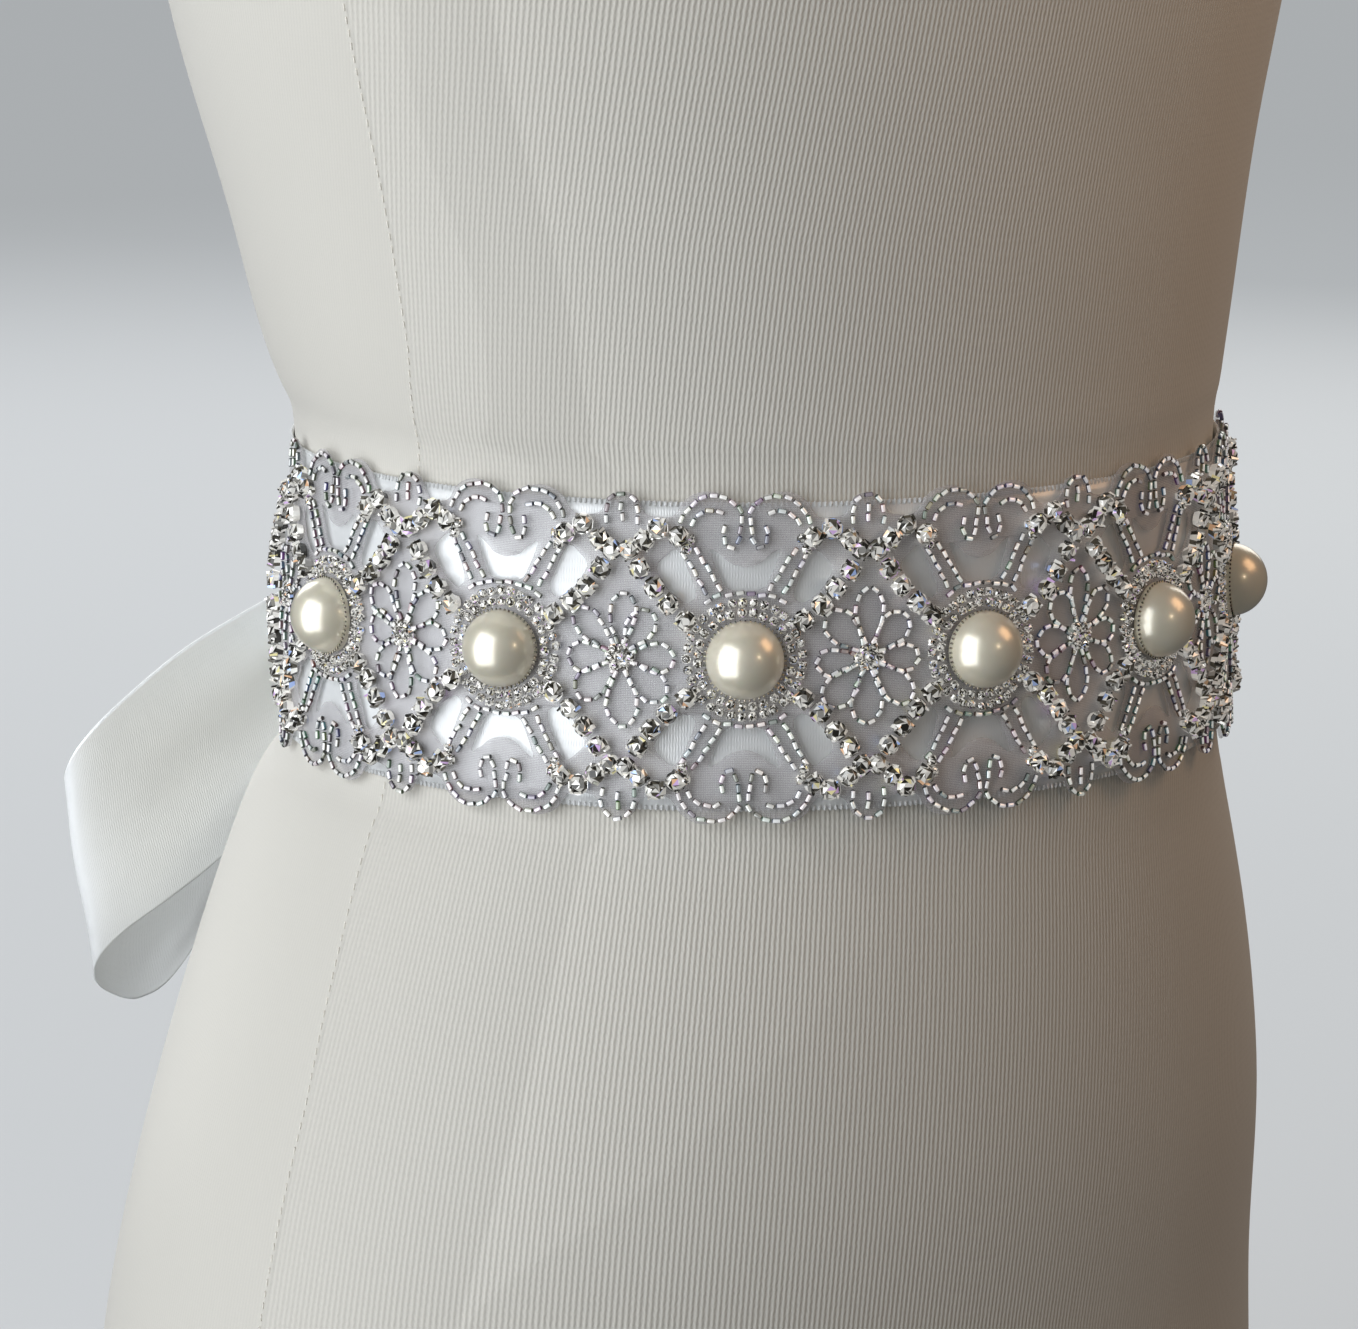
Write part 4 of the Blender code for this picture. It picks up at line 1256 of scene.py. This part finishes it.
class SASH_OT_pearls(bpy.types.Operator):
    """Seat the pearls, each in a crimped rim."""

    bl_idname = "sash.pearls"
    bl_label = "Pearls"

    def execute(self, context):
        lustre = pearl_material()
        gilt = glint_material("champagne_rim", (0.66, 0.60, 0.45), 0.35, 0.5)
        radius = sizes().pearl_width / 2.0
        for number, place in enumerate(pearl_places(), start=1):
            centre, normal = lay((place, 0.0, PEARL_CENTRE_OUT))
            outward = Vector(normal)
            deselect_all()
            bpy.ops.mesh.primitive_uv_sphere_add(segments=48, ring_count=28, radius=radius)
            pearl = context.active_object
            bpy.ops.object.mode_set(mode="EDIT")
            bpy.ops.mesh.select_all(action="SELECT")
            bpy.ops.mesh.bisect(
                plane_co=(0, 0, -PEARL_CENTRE_OUT * MM + 0.3 * MM), plane_no=(0, 0, 1),
                clear_inner=True, use_fill=True,
            )
            bpy.ops.object.mode_set(mode="OBJECT")
            bpy.ops.object.shade_smooth_by_angle(angle=math.radians(50))
            turn = outward.to_track_quat("Z", "Y").to_matrix().to_4x4()
            turn.translation = Vector(centre)
            pearl.matrix_world = turn
            settle(pearl)
            finish_piece(pearl, "pearl_bead_%d" % number, [lustre])
            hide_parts("pearl_%d" % number)
        self.crimp_rims(gilt)
        return {"FINISHED"}

    def crimp_rims(self, gilt):
        """Lay a ring of small rounded teeth round every pearl."""
        master = thread_stitch_master(0.0009, 0.0005)
        flats, runs = [], []
        for place in pearl_places():
            turns = np.arange(52) * 2.0 * math.pi / 52
            flats.append(np.stack((place + 7.95 * np.cos(turns), 7.95 * np.sin(turns)), -1))
            runs.append(np.stack((np.cos(turns), np.sin(turns)), -1))
        places, frames = frames_on_waist(np.vstack(flats), np.vstack(runs), 1.9)
        # The rim's teeth take the beads' painted highlight and shade
        tone_and_glint = bead_tone_and_painted_light(len(places), master, 90)
        rim = scatter("pearl_rims", master, places, frames, tone_and_glint)
        bpy.data.objects.remove(master, do_unlink=True)
        finish_piece(rim, "pearl_rims", [gilt])


PEARL_CENTRE_OUT = 1.2


class SASH_OT_bow(bpy.types.Operator):
    """Tie the bow at the back: a pleated knot, two loops and two tails."""

    bl_idname = "sash.bow"
    bl_label = "Bow"

    def execute(self, context):
        satin = satin_material()
        self.tie_knot(satin)
        for name, side, size, sag in LOOPS:
            self.fold_loop(name, side, size, sag, satin)
        for name, side, length in TAILS:
            self.hang_tail(name, side, length, satin)
        return {"FINISHED"}

    def knot(self):
        """Return the knot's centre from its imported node."""
        low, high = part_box("bow_knot")
        return (Vector(low) + Vector(high)) / 2.0

    def tie_knot(self, satin):
        """Wrap the pleated knot: a ring of ribbon round the loops' roots, gathered to the knot's width."""
        low, high = (np.array(corner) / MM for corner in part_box("bow_knot"))
        centre = (low + high) / 2.0
        half = (high - low) / 2.0
        around = 120
        profile = self.knot_profile(half[0])
        girth = 2.0 * math.pi * math.sqrt((half[1] ** 2 + half[2] ** 2) / 2.0)
        rows, uvs = [], []
        for x, inset, share in profile:
            row = []
            for j in range(around):
                turn = 2.0 * math.pi * j / around
                cosine, sine = math.cos(turn), math.sin(turn)
                deep = math.copysign(abs(cosine) ** 0.8, cosine) * (half[1] - inset)
                tall = math.copysign(abs(sine) ** 0.8, sine) * (half[2] - inset)
                sway = 0.5 * math.sin(turn) * (1.0 - (x / half[0]) ** 2)
                row.append(((centre[0] + x + sway) * MM, (centre[1] + deep) * MM, (centre[2] + tall) * MM))
            rows.append(row)
            uvs.append([(girth * j / around * MM, share * RIBBON_WIDTH) for j in range(around + 1)])
        knot = grid_piece("knot_wrap", np.array(rows), uvs, closed=True)
        thicken(knot, BOW_WALL, 1.0)
        finish_piece(knot, "knot_wrap", [satin])
        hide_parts("bow_knot")

    def knot_profile(self, half_width):
        """Return the knot's rows across: x and inset in mm, and the share across the ribbon."""
        turn_radius = 2.1
        flat_end = half_width - turn_radius - 0.3
        rows = []
        for i in range(8):
            rows.append((-1.5 - (flat_end - 1.5) * i / 8.0, 2.0 * turn_radius + 0.6))
        for i in range(9):
            angle = math.pi * i / 8.0
            x = -flat_end - turn_radius * math.sin(angle)
            rows.append((x, 0.6 + turn_radius + turn_radius * math.cos(angle)))
        over = 84
        for i in range(1, over):
            share = i / over
            ease = math.sin(math.pi * share) ** 0.35
            fold = KNOT_FOLD * (1.0 - math.cos(2.0 * math.pi * KNOT_FOLDS * share)) * ease
            bulge = 0.6 * (1.0 - math.sin(math.pi * share))
            rows.append((flat_end * (2.0 * share - 1.0), bulge + fold))
        for x, inset in rows[16::-1]:
            rows.append((-x, inset))
        points = np.array(rows)
        steps = np.hypot(*np.diff(points, axis=0).T)
        shares = np.concatenate([[0.0], np.cumsum(steps)]) / steps.sum() - 0.5
        return [(x, inset, share) for (x, inset), share in zip(rows, shares)]

    def gather(self, width, folds, most):
        """Return the pleat height, in mm, that takes up the ribbon's width in a narrower one."""
        full = RIBBON_WIDTH / MM
        if width >= full:
            return 0.0
        shares = np.linspace(0.0, 2.0 * math.pi * folds, 400)
        low, high = 0.0, most
        for _ in range(20):
            middle = (low + high) / 2.0
            slope = middle * 2.0 * math.pi * folds / width
            length = width * np.mean(np.sqrt(1.0 + (slope * np.sin(shares)) ** 2))
            low, high = (middle, high) if length < full else (low, middle)
        return low

    def fold_loop(self, node, side, size, sag, satin):
        """Loft one loop of ribbon from the knot out, round its tip and back."""
        knot = self.knot()
        root, top = LOOP_SECTIONS[0][0], LOOP_SECTIONS[0][2]
        steps, across = 10, 78
        count = (len(LOOP_SECTIONS) - 1) * steps
        rows, uvs = [], []
        length = 0.0
        before = None
        for i in range(count + 1):
            outward, backward, down, width, toe, kick, pleat = blend_rows(LOOP_SECTIONS, i / steps)
            fall = math.sqrt(width ** 2 - toe ** 2 - kick ** 2)
            edge = Vector((-side * toe, kick, -fall)) * MM
            reach = root + (outward - root) * size
            middle = knot + Vector((side * reach, backward, -top - (down - top) * sag)) * MM
            length += (middle - before).length if before else 0.0
            before = middle
            inner = i / count > 0.5
            gathered = self.gather(width, LOOP_FOLDS, 1.9 if inner else 2.3)
            # The pleats fade where the ribbon opens out to its full width
            open_out = np.clip((width - 30.0) / 26.0, 0.0, 1.0)
            gathered *= 1.0 - open_out * open_out * (3.0 - 2.0 * open_out)
            free = min(1.0, max(0.0, (reach - root) / 60.0))
            row = []
            for j in range(across + 1):
                share = j / across - 0.5
                crease = pleat * math.cos(4.0 * math.pi * share)
                fine = gathered * math.cos(2.0 * math.pi * LOOP_FOLDS * share + 0.6 * math.sin(reach * 0.05))
                soft = 0.7 * free * math.sin(2.4 * math.pi * share + i * 0.05 + side)
                row.append(middle + edge * share + Vector((0.0, (crease + fine + soft) * MM, 0.0)))
            rows.append([tuple(point) for point in row])
            uvs.append([(length, (j / across - 0.5) * RIBBON_WIDTH) for j in range(across + 1)])
        piece = grid_piece(node + "_satin", np.array(rows), uvs)
        thicken(piece, BOW_WALL)
        finish_piece(piece, node + "_satin", [satin])
        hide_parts(node)

    def hang_tail(self, node, side, length, satin):
        """Loft one tail of ribbon that hangs from the knot down the form's back."""
        knot = self.knot()
        form = FRAME["nodes"]["dress_form"]
        tree = BVHTree.FromPolygons(
            [vertex.co[:] for vertex in form.data.vertices],
            [polygon.vertices[:] for polygon in form.data.polygons],
        )
        top = TAIL_SECTIONS[0][0]
        steps, across = 12, 66
        count = (len(TAIL_SECTIONS) - 1) * steps
        rows, uvs = [], []
        for i in range(count + 1):
            down, outward, clear, width, pleat = blend_rows(TAIL_SECTIONS, i / steps)
            fall = top + (down - top) * length
            gathered = self.gather(width, TAIL_FOLDS, min(2.4, clear - 1.6))
            open_out = np.clip((width - 34.0) / 26.0, 0.0, 1.0)
            gathered *= 1.0 - open_out * open_out * (3.0 - 2.0 * open_out)
            row = []
            for j in range(across + 1):
                share = j / across - 0.5
                x = side * (outward + share * width) * MM
                slant = TAIL_SLANT * share * (i / count) ** 4
                height = knot.z - (fall + slant) * MM
                spot, _, _, _ = tree.ray_cast(Vector((x, 0.5, height)), Vector((0, -1, 0)))
                crease = pleat * math.cos(4.0 * math.pi * share + 0.6 * side)
                fine = gathered * math.cos(2.0 * math.pi * TAIL_FOLDS * share)
                row.append((x, spot.y + (clear + crease + fine) * MM, height))
            rows.append(row)
            uvs.append([(fall * MM, (j / across - 0.5) * RIBBON_WIDTH) for j in range(across + 1)])
        piece = grid_piece(node + "_satin", np.array(rows), uvs)
        thicken(piece, BOW_WALL)
        finish_piece(piece, node + "_satin", [satin])
        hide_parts(node)


KNOT_FOLD = 0.95
KNOT_FOLDS = 7
LOOP_FOLDS = 5.5
TAIL_FOLDS = 4.5
BOW_WALL = 0.00045


class SASH_OT_stage(bpy.types.Operator):
    """Set the floor, the window light, the lamp and the other lights, the room's light and the camera."""

    bl_idname = "sash.stage"
    bl_label = "Stage"

    def execute(self, context):
        scene = context.scene
        self.lay_floor()
        self.light_window()
        low, high = (Vector(corner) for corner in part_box("bow_loop_right"))
        self.aim_spot("loop_light", (low + high) / 2.0 + Vector((-0.01, 0.008, 0.008)), (-75.0, -4.0, 1.0),
                      (8.0, 0.6), 32.0, (0.93, 0.96, 1.0))
        self.aim_spot("torso_light", Vector((0.0, WAIST_CENTRE_Y, 0.56)), (-55.0, 18.0, 1.6),
                      (14.0, 1.0), 28.0, (1.0, 0.97, 0.91))
        self.light_room()
        camera = bpy.data.cameras.new("camera")
        camera.lens = CAMERA_LENS
        camera.sensor_width = SENSOR_WIDTH
        camera.clip_start = 0.05
        holder = bpy.data.objects.new("camera", camera)
        scene.collection.objects.link(holder)
        right, up = Vector(CAMERA_RIGHT), Vector(CAMERA_UP)
        turn = Matrix((right, up, right.cross(up))).transposed().to_4x4()
        turn.translation = Vector(CAMERA_PLACE)
        holder.matrix_world = turn
        scene.camera = holder
        scene.view_settings.view_transform = "Standard"
        return {"FINISHED"}

    def lay_floor(self):
        """Lay the plain pale floor."""
        deselect_all()
        bpy.ops.mesh.primitive_plane_add(size=60.0)
        floor = bpy.context.active_object
        floor.name = "floor"
        pale, lit = (0.66, 0.69, 0.71), (0.30, 0.31, 0.32)
        material, nodes, links, shader = new_material("pale_floor", lit, 0.9)
        mottle = place_group(nodes, "Mottle", Size=1.2, Amount=0.06)
        links.new(shade_colour(nodes, links, lit, mottle.outputs["Shade"]), shader.inputs["Base Color"])
        shader.inputs["Emission Color"].default_value = (*pale, 1.0)
        shader.inputs["Emission Strength"].default_value = 0.56
        floor.data.materials.append(material)
        # The floor's own glow keeps it evenly pale from every side, and doesn't light the form
        floor.visible_diffuse = False
        floor.visible_glossy = False

    def light_window(self):
        """Light the form from a window on its right, with a weak warm lamp and soft fill."""
        middle = Vector((0.0, WAIST_CENTRE_Y, WAIST_HEIGHT))
        lamps = (
            ("window", -94.0, 2.0, 1.5, (1.8, 2.6), 42.0, (0.91, 0.95, 1.0)),
            ("floor_glow", -80.0, -16.0, 0.62, (0.7, 1.0), 4.0, (0.94, 0.96, 1.0)),
            ("lamp", -2.0, 16.0, 1.6, (0.14, 0.14), 0.8, (1.0, 0.80, 0.58)),
            ("fill", 38.0, 36.0, 0.75, (0.35, 0.35), 0.85, (1.0, 0.60, 0.34)),
            ("side", 122.0, 24.0, 2.4, (1.6, 1.6), 15.0, (1.0, 0.97, 0.92)),
            ("back", 165.0, 28.0, 2.6, (1.6, 1.6), 20.0, (0.96, 0.97, 1.0)),
        )
        for name, azimuth, height, away, size, power, colour in lamps:
            light = bpy.data.lights.new(name, "AREA")
            light.shape = "RECTANGLE"
            light.size, light.size_y = size
            light.energy = power
            light.color = colour
            holder = bpy.data.objects.new(name, light)
            bpy.context.scene.collection.objects.link(holder)
            turn, lift = math.radians(azimuth), math.radians(height)
            direction = Vector((
                math.sin(turn) * math.cos(lift), -math.cos(turn) * math.cos(lift), math.sin(lift)
            ))
            holder.location = middle + direction * away
            holder.rotation_euler = direction.to_track_quat("Z", "Y").to_euler()
            holder.visible_camera = False
            if name == "floor_glow":
                holder.rotation_euler = (0.0, 0.0, 0.0)

    def aim_spot(self, name, target, stand, cone, power, colour):
        """Aim a narrow soft light at a place; stand is its azimuth, height in degrees and distance."""
        light = bpy.data.lights.new(name, "SPOT")
        light.energy = power
        light.color = colour
        light.spot_size = math.radians(cone[0])
        light.spot_blend = cone[1]
        light.shadow_soft_size = 0.06
        turn, lift = math.radians(stand[0]), math.radians(stand[1])
        direction = Vector((math.sin(turn) * math.cos(lift), -math.cos(turn) * math.cos(lift), math.sin(lift)))
        holder = bpy.data.objects.new(name, light)
        bpy.context.scene.collection.objects.link(holder)
        holder.location = target + direction * stand[2]
        holder.rotation_euler = direction.to_track_quat("Z", "Y").to_euler()

    def light_room(self):
        """Set the room's weak even light."""
        world = bpy.data.worlds.new("room")
        world.use_nodes = True
        world.node_tree.nodes["Background"].inputs["Color"].default_value = (0.86, 0.88, 0.90, 1.0)
        world.node_tree.nodes["Background"].inputs["Strength"].default_value = 0.11
        bpy.context.scene.world = world


class SASH_PT_panel(bpy.types.Panel):
    """The sash's sizes, colours and steps."""

    bl_label = "Bridal Sash"
    bl_idname = "SASH_PT_panel"
    bl_space_type = "VIEW_3D"
    bl_region_type = "UI"
    bl_category = "Bridal Sash"

    def draw(self, context):
        layout = self.layout
        for group in (context.scene.sash_sizes, context.scene.sash_colours):
            for name in group.__annotations__:
                layout.prop(group, name)
        for operator in STEPS:
            layout.operator(operator.bl_idname)


STEPS = (
    SASH_OT_stage,
    SASH_OT_form,
    SASH_OT_ribbon,
    SASH_OT_net,
    SASH_OT_beads,
    SASH_OT_stones,
    SASH_OT_pearls,
    SASH_OT_bow,
)
CLASSES = (SashSizes, SashColours, *STEPS, SASH_PT_panel)


def register():
    """Register the sash's classes and its settings on the scene."""
    for cls in CLASSES:
        bpy.utils.register_class(cls)
    bpy.types.Scene.sash_sizes = bpy.props.PointerProperty(type=SashSizes)
    bpy.types.Scene.sash_colours = bpy.props.PointerProperty(type=SashColours)


def unregister():
    """Remove the sash's settings and classes."""
    del bpy.types.Scene.sash_colours
    del bpy.types.Scene.sash_sizes
    for cls in reversed(CLASSES):
        bpy.utils.unregister_class(cls)


def main():
    """Dress the frame step by step."""
    register()
    bpy.ops.sash.stage()
    bpy.ops.sash.form()
    bpy.ops.sash.ribbon()
    bpy.ops.sash.net()
    bpy.ops.sash.beads()
    bpy.ops.sash.stones()
    bpy.ops.sash.pearls()
    bpy.ops.sash.bow()
    deselect_all()


if __name__ == "__main__":
    main()
